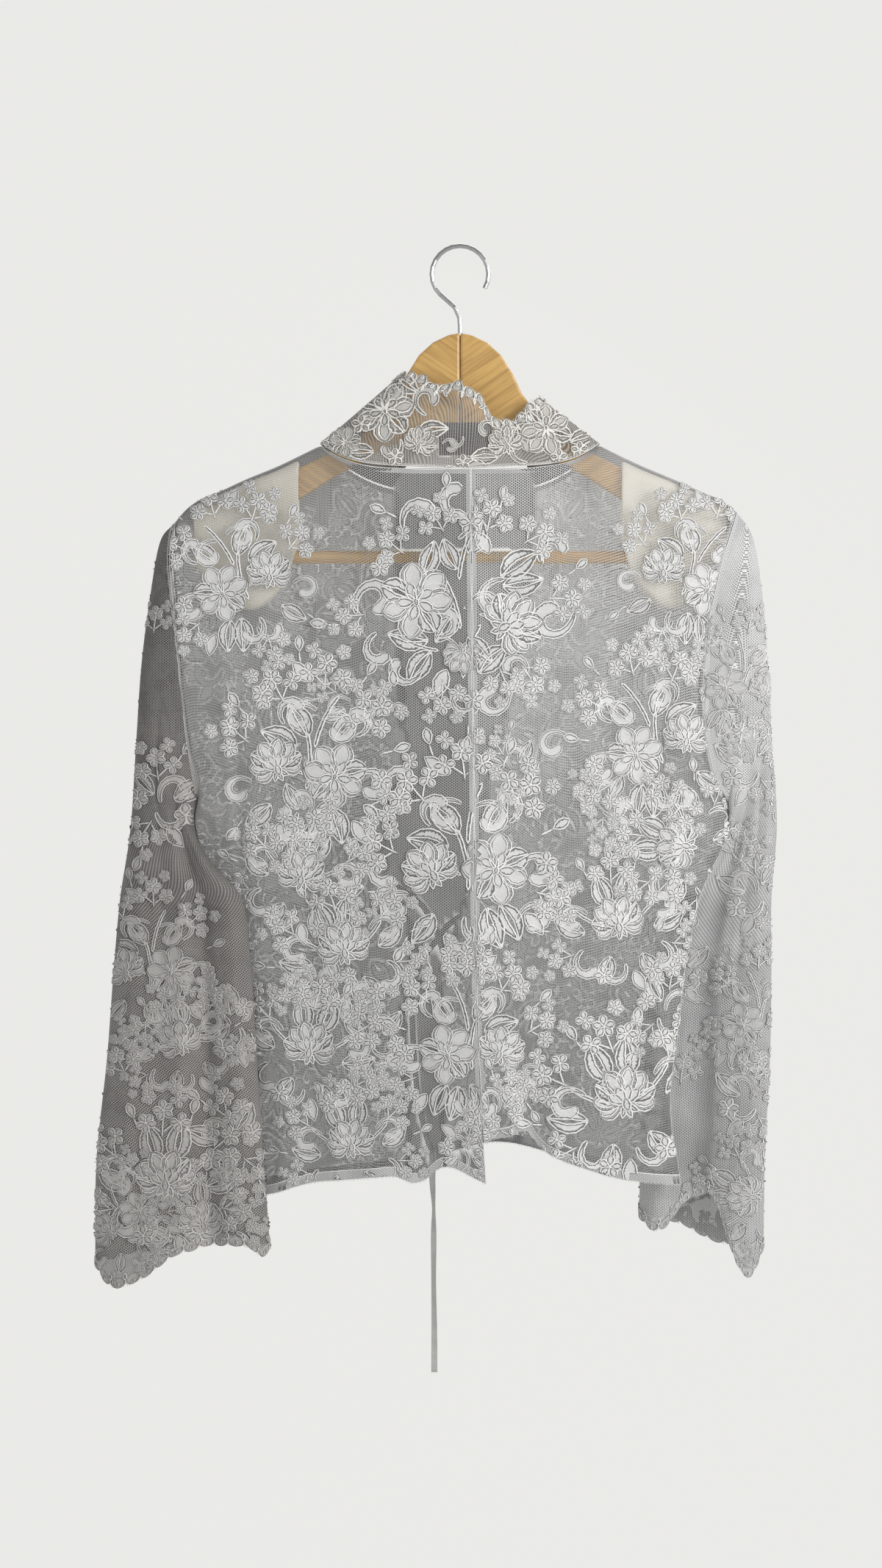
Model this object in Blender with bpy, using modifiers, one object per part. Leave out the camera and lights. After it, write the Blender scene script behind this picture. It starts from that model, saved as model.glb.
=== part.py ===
# Lace shirt hanging on a wooden hanger.
# Z is up, the garment's back faces -Y, and the origin is the inner bearing point of the hanger's hook.
# The tables are in millimetres. A drop is a distance below the bearing point, so z is minus the drop.

import math
from collections import namedtuple

import bpy
import numpy as np
from mathutils import Matrix, Vector

MM = 0.001

# Cloth
WALL = 1.2              # thickness of the lace cloth
SEAM = 0.3              # gap between two pieces that are sewn together
ARM_SEAM = 1.3          # gap between a panel and a sleeve, along the armhole
ARM_SEAM_LOW = 1.8      # the same gap at the underarm, where the seam turns
SHOULDER_ROUND = 30     # height over which a panel turns from the shoulder seam to the vertical
BODY_ROUND = 2.6        # squareness of the body's level section
RIM_ROUND = 3.0         # squareness of the armhole
SLEEVE_ROUND = 2.4      # squareness of a sleeve's section
ARMHOLE_HALF = 19       # half of the armhole's depth, front to back
SIDE_SHIFT = 6          # how far a side seam moves away from the sleeve that hangs over it

# Neck
NECK_HALF = 108         # from the middle to the side neck, where collar and shoulder seam meet
NECK_ROUND = 2.4
SIDE_NECK_DROP = 154
NECK_DEPTH = {"back": 22, "front": 20}
NECK_DROP = {"back": 172.7, "front": 190}
NECK_POWER = {"back": 5, "front": 3}

FACING = {"back": -1, "front": 1}
OUTWARD = {"left": -1, "right": 1}

Place = namedtuple("Place", "drop x")
Edge = namedtuple("Edge", "x drop")
Depth = namedtuple("Depth", "drop back front")
Fold = namedtuple("Fold", "x_top x_bottom drop_top drop_bottom width depth")

CENTRE_BACK = [Place(173, 8), Place(378, 10), Place(663, 16), Place(723, 20)]

# Armhole seam down to the underarm, then the side seam down to the hem
SIDES = {
    "left": [
        Place(214, -221), Place(240, -224), Place(270, -222), Place(317, -218), Place(382, -211),
        Place(426, -203), Place(440, -206), Place(457, -204), Place(474, -198), Place(492, -190),
        Place(544, -177), Place(606, -168), Place(663, -163), Place(735, -170),
    ],
    "right": [
        Place(205, 213), Place(230, 205), Place(260, 197), Place(292, 191), Place(340, 188),
        Place(385, 190), Place(415, 198), Place(429, 206), Place(442, 208), Place(457, 206),
        Place(474, 198), Place(492, 189), Place(544, 176), Place(606, 168), Place(663, 162),
        Place(725, 170),
    ],
}
TIP = {"left": 214, "right": 205}
UNDERARM = {"left": 426, "right": 429}
HEM_SIDE = {"left": 735, "right": 725}
HEM_MIDDLE = 720

SHOULDER = [
    Edge(108, 154), Edge(141, 170), Edge(163, 179), Edge(185, 189),
    Edge(205, 198), Edge(213, 204.5), Edge(221, 214),
]

DEPTHS = [
    Depth(150, 21, 20), Depth(210, 22, 21), Depth(300, 23, 23),
    Depth(430, 22, 23), Depth(560, 22, 24), Depth(735, 24, 24),
]

FRONT_EDGES = {
    "left": [
        Place(185, -52), Place(300, -50), Place(358, -47), Place(400, -46), Place(425, -54),
        Place(455, -62), Place(490, -58), Place(515, -46), Place(540, -39), Place(575, -45),
        Place(620, -47), Place(716, -41),
    ],
    "right": [
        Place(185, 59), Place(240, 57), Place(300, 49), Place(358, 38), Place(400, 27),
        Place(470, 14), Place(523, 2), Place(560, -8), Place(584, -13), Place(640, -13), Place(705, -9),
    ],
}

HEMS = {
    "back_left": [
        Edge(-172, 735), Edge(-143, 731), Edge(-128, 726), Edge(-110, 722), Edge(-88, 720),
        Edge(-67, 718), Edge(-48, 718), Edge(-38, 722), Edge(-28, 720), Edge(-14, 710),
        Edge(-4, 711), Edge(8, 717), Edge(20, 723),
    ],
    "back_right": [
        Edge(16, 694), Edge(26, 689), Edge(44, 685), Edge(52, 681), Edge(58, 685), Edge(64, 694),
        Edge(76, 703), Edge(91, 709), Edge(111, 716), Edge(127, 720), Edge(145, 722), Edge(172, 725),
    ],
    "front_left": [Edge(-172, 733), Edge(-120, 724), Edge(-80, 719), Edge(-41, 715)],
    "front_right": [Edge(-12, 704), Edge(30, 695), Edge(80, 706), Edge(125, 718), Edge(172, 725)],
}

# The largest folds: a positive depth is a ridge that stands out, a negative one is a trough
BODY_FOLDS = {
    "back": [
        Fold(-165, -148, 300, 800, 12, 3.0),
        Fold(-118, -112, 430, 800, 10, -3.5),
        Fold(-62, -70, 520, 800, 13, 2.5),
        Fold(58, 52, 600, 800, 12, -4.0),
        Fold(98, 84, 480, 800, 12, 3.0),
        Fold(140, 128, 330, 800, 12, -3.0),
        Fold(155, 110, 215, 400, 14, -2.5),
        Fold(-150, -95, 215, 380, 14, -2.5),
    ],
    "front": [
        Fold(-150, -140, 320, 800, 12, 2.5),
        Fold(-100, -96, 460, 800, 12, -3.0),
        Fold(70, 60, 440, 800, 13, 2.5),
        Fold(120, 112, 300, 800, 13, -3.0),
    ],
}

# Down a panel, from the shoulder to the hem, and across it, from the neck to the side
ROWS_ARMHOLE = [0, 0.014, 0.045, 0.095, 0.17, 0.27, 0.39, 0.51, 0.63, 0.75, 0.86, 0.94, 1]
ROWS_BELOW = [0.05, 0.13, 0.26, 0.4, 0.55, 0.7, 0.85, 1]
ACROSS_NECK = {"back": [0, 0.17, 0.36, 0.56, 0.75, 0.9, 0.96], "front": [0, 0.35, 0.68, 0.88]}
ACROSS_SHOULDER = [0, 0.16, 0.36, 0.56, 0.74, 0.88, 0.96, 1]

# A sleeve's sections, from just outside the armhole to the hem. Outer and inner are the two edges
# of the flattened tube, half is half of its depth, and the folds are the depth of its long troughs.
Section = namedtuple(
    "Section", "outer_x outer_y outer_drop inner_x inner_y inner_drop half back_fold front_fold"
)
SLEEVES = {
    "left": [
        Section(-232, 0, 228, -209, 0, 430, 20, 0, 0),
        Section(-239, -1, 266, -212, -1, 436, 19, 0, 0),
        Section(-246, -4, 322, -212, -4, 445, 18, 2, 0),
        Section(-250, -8, 385, -206, -10, 459, 16, 5, 1),
        Section(-254, -11, 450, -189, -17, 480, 15, 8, 2),
        Section(-262, -13, 505, -168, -20, 506, 15, 11, 4),
        Section(-267, -14, 562, -161, -21, 562, 15, 12, 5),
        Section(-272, -14, 628, -157, -21, 628, 16, 12, 5),
        Section(-280, -14, 705, -152, -22, 698, 17, 13, 6),
        Section(-281, -14, 783, -147, -24, 770, 19, 13, 7),
    ],
    "right": [
        Section(226, 0, 224, 209, 0, 430, 20, 0, 0),
        Section(233, 1, 262, 212, 1, 436, 19, 0, 0),
        Section(238, 4, 318, 212, 4, 445, 18, 2, 0),
        Section(242, 8, 382, 206, 10, 459, 16, 4, 1),
        Section(246, 11, 446, 189, 17, 480, 15, 7, 2),
        Section(242, 13, 505, 168, 20, 506, 15, 10, 4),
        Section(242, 13, 562, 149, 23, 562, 15, 12, 5),
        Section(241, 14, 628, 145, 24, 628, 16, 13, 5),
        Section(237, 14, 705, 142, 26, 698, 17, 14, 6),
        Section(236, 15, 772, 141, 28, 751, 18, 14, 7),
    ],
}
Trough = namedtuple("Trough", "place width")
SLEEVE_TROUGHS = {
    "left": {"back": Trough(0.33, 0.10), "front": Trough(0.62, 0.12)},
    "right": {"back": Trough(0.42, 0.22), "front": Trough(0.40, 0.12)},
}
HemPoint = namedtuple("HemPoint", "place drop")
SLEEVE_HEMS = {
    "left": {
        "back": [
            HemPoint(0, 770), HemPoint(0.04, 775), HemPoint(0.1, 769), HemPoint(0.3, 767),
            HemPoint(0.45, 770), HemPoint(0.55, 775), HemPoint(0.65, 785), HemPoint(0.8, 797),
            HemPoint(0.92, 797), HemPoint(1, 783),
        ],
        "front": [HemPoint(0, 770), HemPoint(0.3, 762), HemPoint(0.6, 771), HemPoint(1, 783)],
    },
    "right": {
        "back": [
            HemPoint(0, 751), HemPoint(0.1, 761), HemPoint(0.2, 758), HemPoint(0.3, 745),
            HemPoint(0.45, 735), HemPoint(0.62, 739), HemPoint(0.7, 765), HemPoint(0.78, 786),
            HemPoint(0.9, 794), HemPoint(1, 772),
        ],
        "front": [HemPoint(0, 751), HemPoint(0.3, 757), HemPoint(0.7, 774), HemPoint(1, 772)],
    },
}
SLEEVE_COLUMNS = 36
WHOLE_SECTIONS = 6      # upper sections with no rows between them
ROWS_BETWEEN = 3        # rows for each of the longer stretches below

# Collar: its upper edge, by the angle round the neck. 180 is the wearer's left, 270 the back.
Rim = namedtuple("Rim", "angle drop")
COLLAR_RIM = [
    Rim(115, 130), Rim(150, 108), Rim(180, 100), Rim(210, 101), Rim(233, 105), Rim(241, 110),
    Rim(265, 110.5), Rim(272, 117), Rim(278, 130), Rim(284, 136), Rim(293, 138.5), Rim(304, 135),
    Rim(320, 124), Rim(338, 119), Rim(360, 121), Rim(390, 128), Rim(421, 142),
]
COLLAR_TOP_X = 10
COLLAR_TOP_HALF = 56
COLLAR_TOP_DEPTH = {"back": 19, "front": 17}
COLLAR_SWELL = 2.5
COLLAR_LIFT = 1.2 * WALL    # how far the collar clears the thickness of the panels below it
COLLAR_LIFT_REACH = 50      # distance from the middle over which that clearance grows
COLLAR_COLUMNS = 38
COLLAR_ROWS = 5

# Blank label inside the collar
LABEL_LEFT = -17
LABEL_RIGHT = 24
LABEL_TOP = 137
LABEL_BOTTOM = 163
LABEL_WALL = 1.0
LABEL_GAP = 0.9
LABEL_ROWS = 4
LABEL_COLUMNS = 5
LABEL_STEPS = 16
BACK_ANGLE = 270

# Hanger
WOOD_HALF = 5           # half of the wood's thickness
WOOD_BELOW_CLOTH = 8.4
WOOD_BEVEL = 2
HUMP = [
    Edge(0.15, 66), Edge(9, 67.8), Edge(21, 73.5), Edge(32, 83.5), Edge(41, 98), Edge(48, 113),
    Edge(60, 129), Edge(75, 143), Edge(95, 156),
]
ARM_X = [116, 141, 163, 185, 197]
ARM_END = [Edge(202, 212), Edge(203, 228), Edge(201, 245), Edge(197, 250), Edge(188, 250), Edge(188, 231)]
ARM_BELOW = [
    Edge(176, 225), Edge(160, 216), Edge(124, 194.5), Edge(97, 177), Edge(60, 158), Edge(30, 146),
    Edge(0.15, 142),
]
BAR_HALF = 187.7
BAR_DROP = 239.7
BAR_RADIUS = 5
HOOK_RADIUS = 22
HOOK_WIRE = 1.8

# Shoulder pads: each column is the lower edge of both flaps and the half width between them
Pad = namedtuple("Pad", "x bottom half flare")
PADS = [
    Pad(125, 226, 6.5, 3), Pad(128.5, 241, 6.5, 4), Pad(136, 257, 6.5, 4.5), Pad(146, 271, 6.5, 4.5),
    Pad(161, 280, 6.5, 4.5), Pad(177, 276, 6.5, 4), Pad(190, 265, 6.5, 3), Pad(200, 253, 6.5, 2),
    Pad(206, 244, 6.3, 1),
]
PAD_WALL = 4
PAD_BELOW_CLOTH = 2.0

# Ribbons of the front tie, each by the points of its route; a turn twists the flat ribbon
Route = namedtuple("Route", "x y drop turn")
RIBBON_WIDTH = 5
RIBBON_WALL = 1
RIBBON_STEP = 9
RIBBONS = {
    "ribbon_long": [
        Route(12, 26.1, 512, 0), Route(3, 26.3, 518, 0), Route(-7, 27.4, 524, 0), Route(-20, 27.8, 540, 0),
        Route(-30, 27.6, 554, 0), Route(-36, 27.2, 572, 0), Route(-37, 27.2, 606, 8), Route(-34, 27.6, 650, 20),
        Route(-28, 27.8, 685, 10), Route(-22, 27.8, 706, -15), Route(-21.5, 27.6, 727, 10),
        Route(-20.5, 27.4, 747, 62), Route(-20.5, 27.2, 768, 25), Route(-20.5, 27, 800, 40),
        Route(-20, 27, 847, 20), Route(-20, 27, 876, 0),
    ],
    "ribbon_short": [
        Route(-56, 25.9, 492, 0), Route(-44, 26.1, 499, 0), Route(-30, 26.1, 510, 0), Route(-18, 26.1, 532, 0),
        Route(-11, 26.1, 556, 0), Route(-7, 26.1, 585, 0), Route(-6, 26.1, 604, 0),
    ],
    "ribbon_tab": [
        Route(-66, 24.75, 421, 0), Route(-60, 24.8, 421.5, 0), Route(-52, 25, 423, 0), Route(-34, 25.8, 425, 0),
    ],
    "ribbon_loop": [
        Route(-52, 26.4, 569, 0), Route(-44, 28.2, 570, 0), Route(-36, 28.6, 571, 0), Route(-30, 28.4, 571.5, 0),
    ],
}

# Base colour, roughness and metallic value
Finish = namedtuple("Finish", "colour roughness metallic")
LACE = Finish((0.82, 0.82, 0.80), 0.75, 0.0)
PADDING = Finish((0.86, 0.83, 0.76), 0.85, 0.0)
LABEL = Finish((0.06, 0.06, 0.07), 0.7, 0.0)
RIBBON = Finish((0.80, 0.80, 0.77), 0.55, 0.0)
OAK = Finish((0.72, 0.50, 0.25), 0.4, 0.0)
STEEL = Finish((0.75, 0.75, 0.76), 0.25, 1.0)


def smooth(stations, values, at):
    """Read a smooth curve that passes through the values at rising stations."""
    stations = np.asarray(stations, float)
    values = np.asarray(values, float)
    at = min(max(at, stations[0]), stations[-1])
    left = int(np.clip(np.searchsorted(stations, at, side="right") - 1, 0, len(stations) - 2))
    right = left + 1
    slopes = np.gradient(values, stations, axis=0)
    span = stations[right] - stations[left]
    t = (at - stations[left]) / span
    near = (1 + 2 * t) * (1 - t) ** 2
    far = t * t * (3 - 2 * t)
    bend = slopes[left] * t * (1 - t) ** 2 + slopes[right] * t * t * (t - 1)
    return values[left] * near + values[right] * far + bend * span


def read(table, key, value, at):
    """Read one column of a table against another."""
    return float(smooth([getattr(row, key) for row in table], [getattr(row, value) for row in table], at))


def ease(t):
    t = min(max(t, 0.0), 1.0)
    return t * t * (3 - 2 * t)


def mix(a, b, t):
    return a + (b - a) * t


def arc_height(t, squareness):
    """Height, from 1 down to 0, of a rounded profile at a distance t from its middle."""
    t = min(max(abs(t), 0.0), 1.0)
    return (1 - t ** squareness) ** (1 / squareness)


def round_power(value, squareness):
    return math.copysign(abs(value) ** (2 / squareness), value)


def point(x, y, drop):
    return Vector((x * MM, y * MM, -drop * MM))


def side_x(side, drop):
    return read(SIDES[side], "drop", "x", drop)


def centre_x(drop):
    return read(CENTRE_BACK, "drop", "x", drop)


def top_drop(face, x):
    """Drop of a panel's upper edge: the neck seam, then the shoulder seam."""
    if abs(x) >= NECK_HALF:
        return read(SHOULDER, "x", "drop", abs(x))
    rise = (NECK_DROP[face] - SIDE_NECK_DROP) * (abs(x) / NECK_HALF) ** NECK_POWER[face]
    return NECK_DROP[face] - rise


def top_depth(face, x):
    """Distance of a panel's upper edge from the hanger's middle plane."""
    return max(SEAM / 2, NECK_DEPTH[face] * arc_height(x / NECK_HALF, NECK_ROUND))


def armhole_half(side, drop):
    """Half of the armhole's depth. It closes towards the underarm."""
    middle = (TIP[side] + UNDERARM[side]) / 2
    reach = UNDERARM[side] - middle
    return ARMHOLE_HALF * arc_height(max(drop - middle, 0) / reach, RIM_ROUND)


def fold_height(face, x, drop):
    """Sum of the body's folds at a place."""
    height = 0.0
    for fold in BODY_FOLDS[face]:
        t = (drop - fold.drop_top) / (fold.drop_bottom - fold.drop_top)
        middle = mix(fold.x_top, fold.x_bottom, t)
        fade = ease(t / 0.3) * ease((1 - t) / 0.3)
        height += fold.depth * fade * math.exp(-((x - middle) / fold.width) ** 2)
    return height


def body_y(face, side, x, drop):
    """Place of the body's cloth, behind or in front of the hanger's middle plane."""
    middle = centre_x(drop)
    across = (x - middle) / (side_x(side, drop) - middle)
    across = min(max(across, 0.0), 1.0)
    edge = armhole_half(side, drop)
    full = read(DEPTHS, "drop", face, drop)
    depth = edge + (full - edge) * arc_height(across, BODY_ROUND)
    depth += fold_height(face, x, drop) * (1 - across ** 6)
    start = top_depth(face, x)
    below = max(drop - top_drop(face, x), 0.0)
    turn = arc_height(1 - min(below / SHOULDER_ROUND, 1.0), 2)
    depth = max(start + (depth - start) * turn, SEAM / 2)
    shift = -OUTWARD[side] * SIDE_SHIFT * across ** 2 * ease((drop - UNDERARM[side]) / 60)
    return FACING[face] * depth + shift


def panel_points(face, side):
    """Rows of points down a back or a front, from its shoulder to its hem."""
    name = f"{face}_{side}"
    tip = TIP[side]
    hem_edge = HEM_SIDE[side]
    armhole = UNDERARM[side] - tip
    downs = [armhole * t for t in ROWS_ARMHOLE]
    downs += [mix(armhole, hem_edge - tip, t) for t in ROWS_BELOW]
    downs = [down / (hem_edge - tip) for down in downs]

    def inner_edge(drop):
        if face == "front":
            return read(FRONT_EDGES[side], "drop", "x", drop)
        return centre_x(drop) + OUTWARD[side] * SEAM / 2

    first = inner_edge(tip)
    last = side_x(side, tip)
    neck = (OUTWARD[side] * NECK_HALF - first) / (last - first)
    acrosses = [neck * t for t in ACROSS_NECK[face]]
    acrosses += [mix(neck, 1, t) for t in ACROSS_SHOULDER]
    rows = []
    for down in downs:
        row = []
        for across in acrosses:
            top = top_drop(face, mix(first, last, across))
            hem_x = mix(inner_edge(HEM_MIDDLE), side_x(side, hem_edge), across)
            hem = read(HEMS[name], "x", "drop", hem_x)
            drop = mix(top, hem, down)
            x = mix(inner_edge(drop), side_x(side, drop), across)
            y = FACING[face] * top_depth(face, x) if down == 0 else body_y(face, side, x, drop)
            row.append(point(x, y, drop))
        rows.append(row)
    return rows


def armhole_ring(side):
    """The sleeve's first ring, which follows the armhole a seam's gap outside the panels."""
    middle = (TIP[side] + UNDERARM[side]) / 2
    reach = (UNDERARM[side] - TIP[side]) / 2
    ring = []
    for step in range(SLEEVE_COLUMNS):
        angle = 2 * math.pi * step / SLEEVE_COLUMNS
        drop = middle - reach * math.cos(angle)
        face = "back" if math.sin(angle) < 0 else "front"
        x = side_x(side, drop)
        low = ease((drop - UNDERARM[side] + 30) / 30)
        gap = mix(ARM_SEAM, ARM_SEAM_LOW, low)
        on_seam = step in (0, SLEEVE_COLUMNS // 2)
        y = 0.0 if on_seam else body_y(face, side, x, drop)
        ring.append((x + OUTWARD[side] * gap, y, drop))
    return np.array(ring)


def sleeve_ring(side, section, is_hem):
    """One ring of a sleeve: a flattened tube with a long trough in each face."""
    ring = []
    for step in range(SLEEVE_COLUMNS):
        angle = 2 * math.pi * step / SLEEVE_COLUMNS
        place = 0.5 * (1 + math.cos(angle))
        face = "back" if math.sin(angle) < 0 else "front"
        height = arc_height(math.cos(angle), SLEEVE_ROUND)
        trough = SLEEVE_TROUGHS[side][face]
        depth = section.back_fold if face == "back" else section.front_fold
        inward = depth * math.exp(-((place - trough.place) / trough.width) ** 2)
        swell = FACING[face] * height * (section.half - inward)
        x = mix(section.inner_x, section.outer_x, place)
        y = mix(section.inner_y, section.outer_y, place) + swell
        drop = mix(section.inner_drop, section.outer_drop, place)
        if is_hem:
            drop = read(SLEEVE_HEMS[side][face], "place", "drop", place)
        ring.append((x, y, drop))
    return np.array(ring)


def sleeve_points(side):
    """Rings of points from the armhole to the sleeve's hem."""
    sections = SLEEVES[side]
    rings = [armhole_ring(side)]
    rings += [sleeve_ring(side, section, section is sections[-1]) for section in sections]
    stations = list(range(WHOLE_SECTIONS + 1))
    for start in range(WHOLE_SECTIONS, len(rings) - 1):
        stations += [start + (step + 1) / ROWS_BETWEEN for step in range(ROWS_BETWEEN)]
    rows = [smooth(range(len(rings)), rings, station) for station in stations]
    return [[point(*place) for place in row] for row in rows]


def collar_point(angle, up, inward=0.0):
    """A place on the collar, by the angle round the neck and the way up from 0 to 1."""
    turn = math.radians(angle)
    across = round_power(math.cos(turn), NECK_ROUND)
    deep = round_power(math.sin(turn), NECK_ROUND)
    face = "back" if deep < 0 else "front"
    low_x = NECK_HALF * across
    low_drop = top_drop(face, low_x if abs(low_x) < NECK_HALF else NECK_HALF - 0.001)
    lift = SEAM + COLLAR_LIFT * ease(abs(low_x) / COLLAR_LIFT_REACH)
    swell = COLLAR_SWELL * math.sin(math.pi * up) * abs(deep)
    x = mix(low_x, COLLAR_TOP_X + COLLAR_TOP_HALF * across, up)
    depth = mix(NECK_DEPTH[face], COLLAR_TOP_DEPTH[face], up) * deep
    depth += (swell - inward) * FACING[face]
    drop = mix(low_drop - lift, read(COLLAR_RIM, "angle", "drop", angle), up)
    return x, depth, drop


def collar_points():
    angles = np.linspace(COLLAR_RIM[0].angle, COLLAR_RIM[-1].angle, COLLAR_COLUMNS + 1)
    ups = np.linspace(1, 0, COLLAR_ROWS + 1)
    return [[point(*collar_point(angle, up)) for angle in angles] for up in ups]


def label_points():
    """A small rectangle that lies inside the collar's back. Each place is found by small steps."""
    rows = []
    for drop in np.linspace(LABEL_TOP, LABEL_BOTTOM, LABEL_ROWS):
        row = []
        for x in np.linspace(LABEL_LEFT, LABEL_RIGHT, LABEL_COLUMNS):
            angle = BACK_ANGLE
            for _ in range(LABEL_STEPS):
                up_drop = collar_point(angle, 1)[2]
                low_drop = collar_point(angle, 0)[2]
                up = min(max((low_drop - drop) / (low_drop - up_drop), 0), 1)
                angle += (x - collar_point(angle, up)[0]) / 2
            depth = collar_point(angle, up, inward=LABEL_GAP + LABEL_WALL)[1]
            row.append(point(x, depth, drop))
        rows.append(row)
    return rows


def pad_points(side):
    """Columns of an upturned U that sits over the end of the hanger's arm."""
    columns = []
    for pad in PADS:
        inner_top = read(SHOULDER, "x", "drop", pad.x) + PAD_BELOW_CLOTH + PAD_WALL
        spring = inner_top + pad.half
        flap = [(pad.half + pad.flare * ease(t), mix(spring, pad.bottom, t)) for t in (1, 0.66, 0.33)]
        arch = []
        for degrees in (0, 30, 60, 90):
            turn = math.radians(degrees)
            arch.append((pad.half * math.cos(turn), spring - pad.half * math.sin(turn)))
        half = flap + arch
        profile = [(y, drop) for y, drop in half] + [(-y, drop) for y, drop in reversed(half[:-1])]
        columns.append([point(OUTWARD[side] * pad.x, y, drop) for y, drop in profile])
    return columns


def arm_outline():
    """Outline of one half of the hanger, from the mitre over the arm and back."""
    top = [(x, read(SHOULDER, "x", "drop", x) + WOOD_BELOW_CLOTH) for x in ARM_X]
    return [(p.x, p.drop) for p in HUMP] + top + [(p.x, p.drop) for p in ARM_END + ARM_BELOW]


def hook_route():
    """Centre line of the hook: a stem that bends into most of a circle."""
    centre = HOOK_RADIUS - HOOK_WIRE
    route = [(0, 65.7), (0, 60), (-0.5, 54), (-4, 46)]
    for degrees in range(225, -31, -15):
        turn = math.radians(degrees)
        route.append((HOOK_RADIUS * math.cos(turn), centre - HOOK_RADIUS * math.sin(turn)))
    return route


def ribbon_points(route):
    """Two edges of a flat ribbon along its route."""
    stops = np.array([(stop.x, stop.y, stop.drop, stop.turn) for stop in route])
    steps = np.linalg.norm(np.diff(stops[:, :3], axis=0), axis=1)
    lengths = np.concatenate([[0], np.cumsum(steps)])
    count = max(4, round(lengths[-1] / RIBBON_STEP))
    rows = []
    for station in np.linspace(0, lengths[-1], count + 1):
        here = smooth(lengths, stops, station)
        ahead = smooth(lengths, stops, station + 1)
        behind = smooth(lengths, stops, station - 1)
        along = (point(*ahead[:3]) - point(*behind[:3])).normalized()
        side = along.cross(Vector((0, 1, 0))).normalized()
        side = Matrix.Rotation(math.radians(here[3]), 3, along) @ side
        middle = point(*here[:3])
        half = side * (RIBBON_WIDTH / 2 * MM)
        rows.append([middle - half, middle + half])
    return rows


def material(name, finish):
    shader = bpy.data.materials.new(name)
    shader.use_nodes = True
    principled = shader.node_tree.nodes["Principled BSDF"]
    principled.inputs["Base Color"].default_value = (*finish.colour, 1)
    principled.inputs["Roughness"].default_value = finish.roughness
    principled.inputs["Metallic"].default_value = finish.metallic
    shader.diffuse_color = (*finish.colour, 1)
    return shader


def place_object(name, data, finish, collection):
    item = bpy.data.objects.new(name, data)
    data.materials.append(material(name, finish))
    collection.objects.link(item)
    return item


def cloth(name, rows, finish, collection, facing=None, closed=False, wall=WALL, offset=1.0):
    """A wall over a net of points. It grows outwards: along facing, or away from each row's middle."""
    columns = len(rows[0])
    vertices = [place for row in rows for place in row]
    faces = []
    balance = 0.0
    for down in range(len(rows) - 1):
        middle = sum(rows[down], Vector()) / columns
        for across in range(columns if closed else columns - 1):
            beside = (across + 1) % columns
            a = down * columns + across
            b = (down + 1) * columns + across
            c = (down + 1) * columns + beside
            d = down * columns + beside
            faces.append((a, b, c, d))
            normal = (vertices[c] - vertices[a]).cross(vertices[d] - vertices[b])
            outward = facing if facing else vertices[a] - middle
            balance += normal.dot(outward)
    if balance < 0:
        faces = [tuple(reversed(face)) for face in faces]
    mesh = bpy.data.meshes.new(name)
    mesh.from_pydata(vertices, [], faces)
    mesh.shade_smooth()
    item = place_object(name, mesh, finish, collection)
    shell = item.modifiers.new("Wall", "SOLIDIFY")
    shell.thickness = wall * MM
    shell.offset = offset
    shell.use_even_offset = False
    shell.use_rim = True
    return item


def hanger_half(side, collection):
    """A flat outline with thickness, its edges eased."""
    name = f"hanger_{side}"
    curve = bpy.data.curves.new(name, "CURVE")
    curve.dimensions = "2D"
    curve.fill_mode = "BOTH"
    curve.extrude = WOOD_HALF * MM
    spline = curve.splines.new("POLY")
    outline = arm_outline()
    spline.points.add(len(outline) - 1)
    for stop, (x, drop) in zip(spline.points, outline):
        stop.co = (OUTWARD[side] * x * MM, -drop * MM, 0, 1)
    spline.use_cyclic_u = True
    item = place_object(name, curve, OAK, collection)
    item.rotation_euler = (math.pi / 2, 0, 0)
    weld = item.modifiers.new("Weld", "WELD")
    weld.merge_threshold = 0.00001
    bevel = item.modifiers.new("Eased edges", "BEVEL")
    bevel.width = WOOD_BEVEL * MM
    bevel.segments = 2
    bevel.limit_method = "ANGLE"
    bevel.angle_limit = math.radians(60)
    return item


def hanger_bar(collection):
    bpy.ops.mesh.primitive_cylinder_add(
        vertices=20, radius=BAR_RADIUS * MM, depth=2 * BAR_HALF * MM,
        location=(0, 0, -BAR_DROP * MM), rotation=(0, math.pi / 2, 0),
    )
    bar = bpy.context.object
    bar.name = "hanger_bar"
    bar.data.name = "hanger_bar"
    bar.data.materials.append(material("hanger_bar", OAK))
    bar.data.shade_smooth()
    for owner in list(bar.users_collection):
        owner.objects.unlink(bar)
    collection.objects.link(bar)
    return bar


def hanger_hook(collection):
    curve = bpy.data.curves.new("hanger_hook", "CURVE")
    curve.dimensions = "3D"
    curve.bevel_depth = HOOK_WIRE * MM
    curve.bevel_resolution = 2
    curve.use_fill_caps = True
    spline = curve.splines.new("POLY")
    route = hook_route()
    spline.points.add(len(route) - 1)
    for stop, (x, drop) in zip(spline.points, route):
        stop.co = (x * MM, 0, -drop * MM, 1)
    return place_object("hanger_hook", curve, STEEL, collection)


def clear_scene():
    for item in list(bpy.data.objects):
        bpy.data.objects.remove(item, do_unlink=True)


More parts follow.
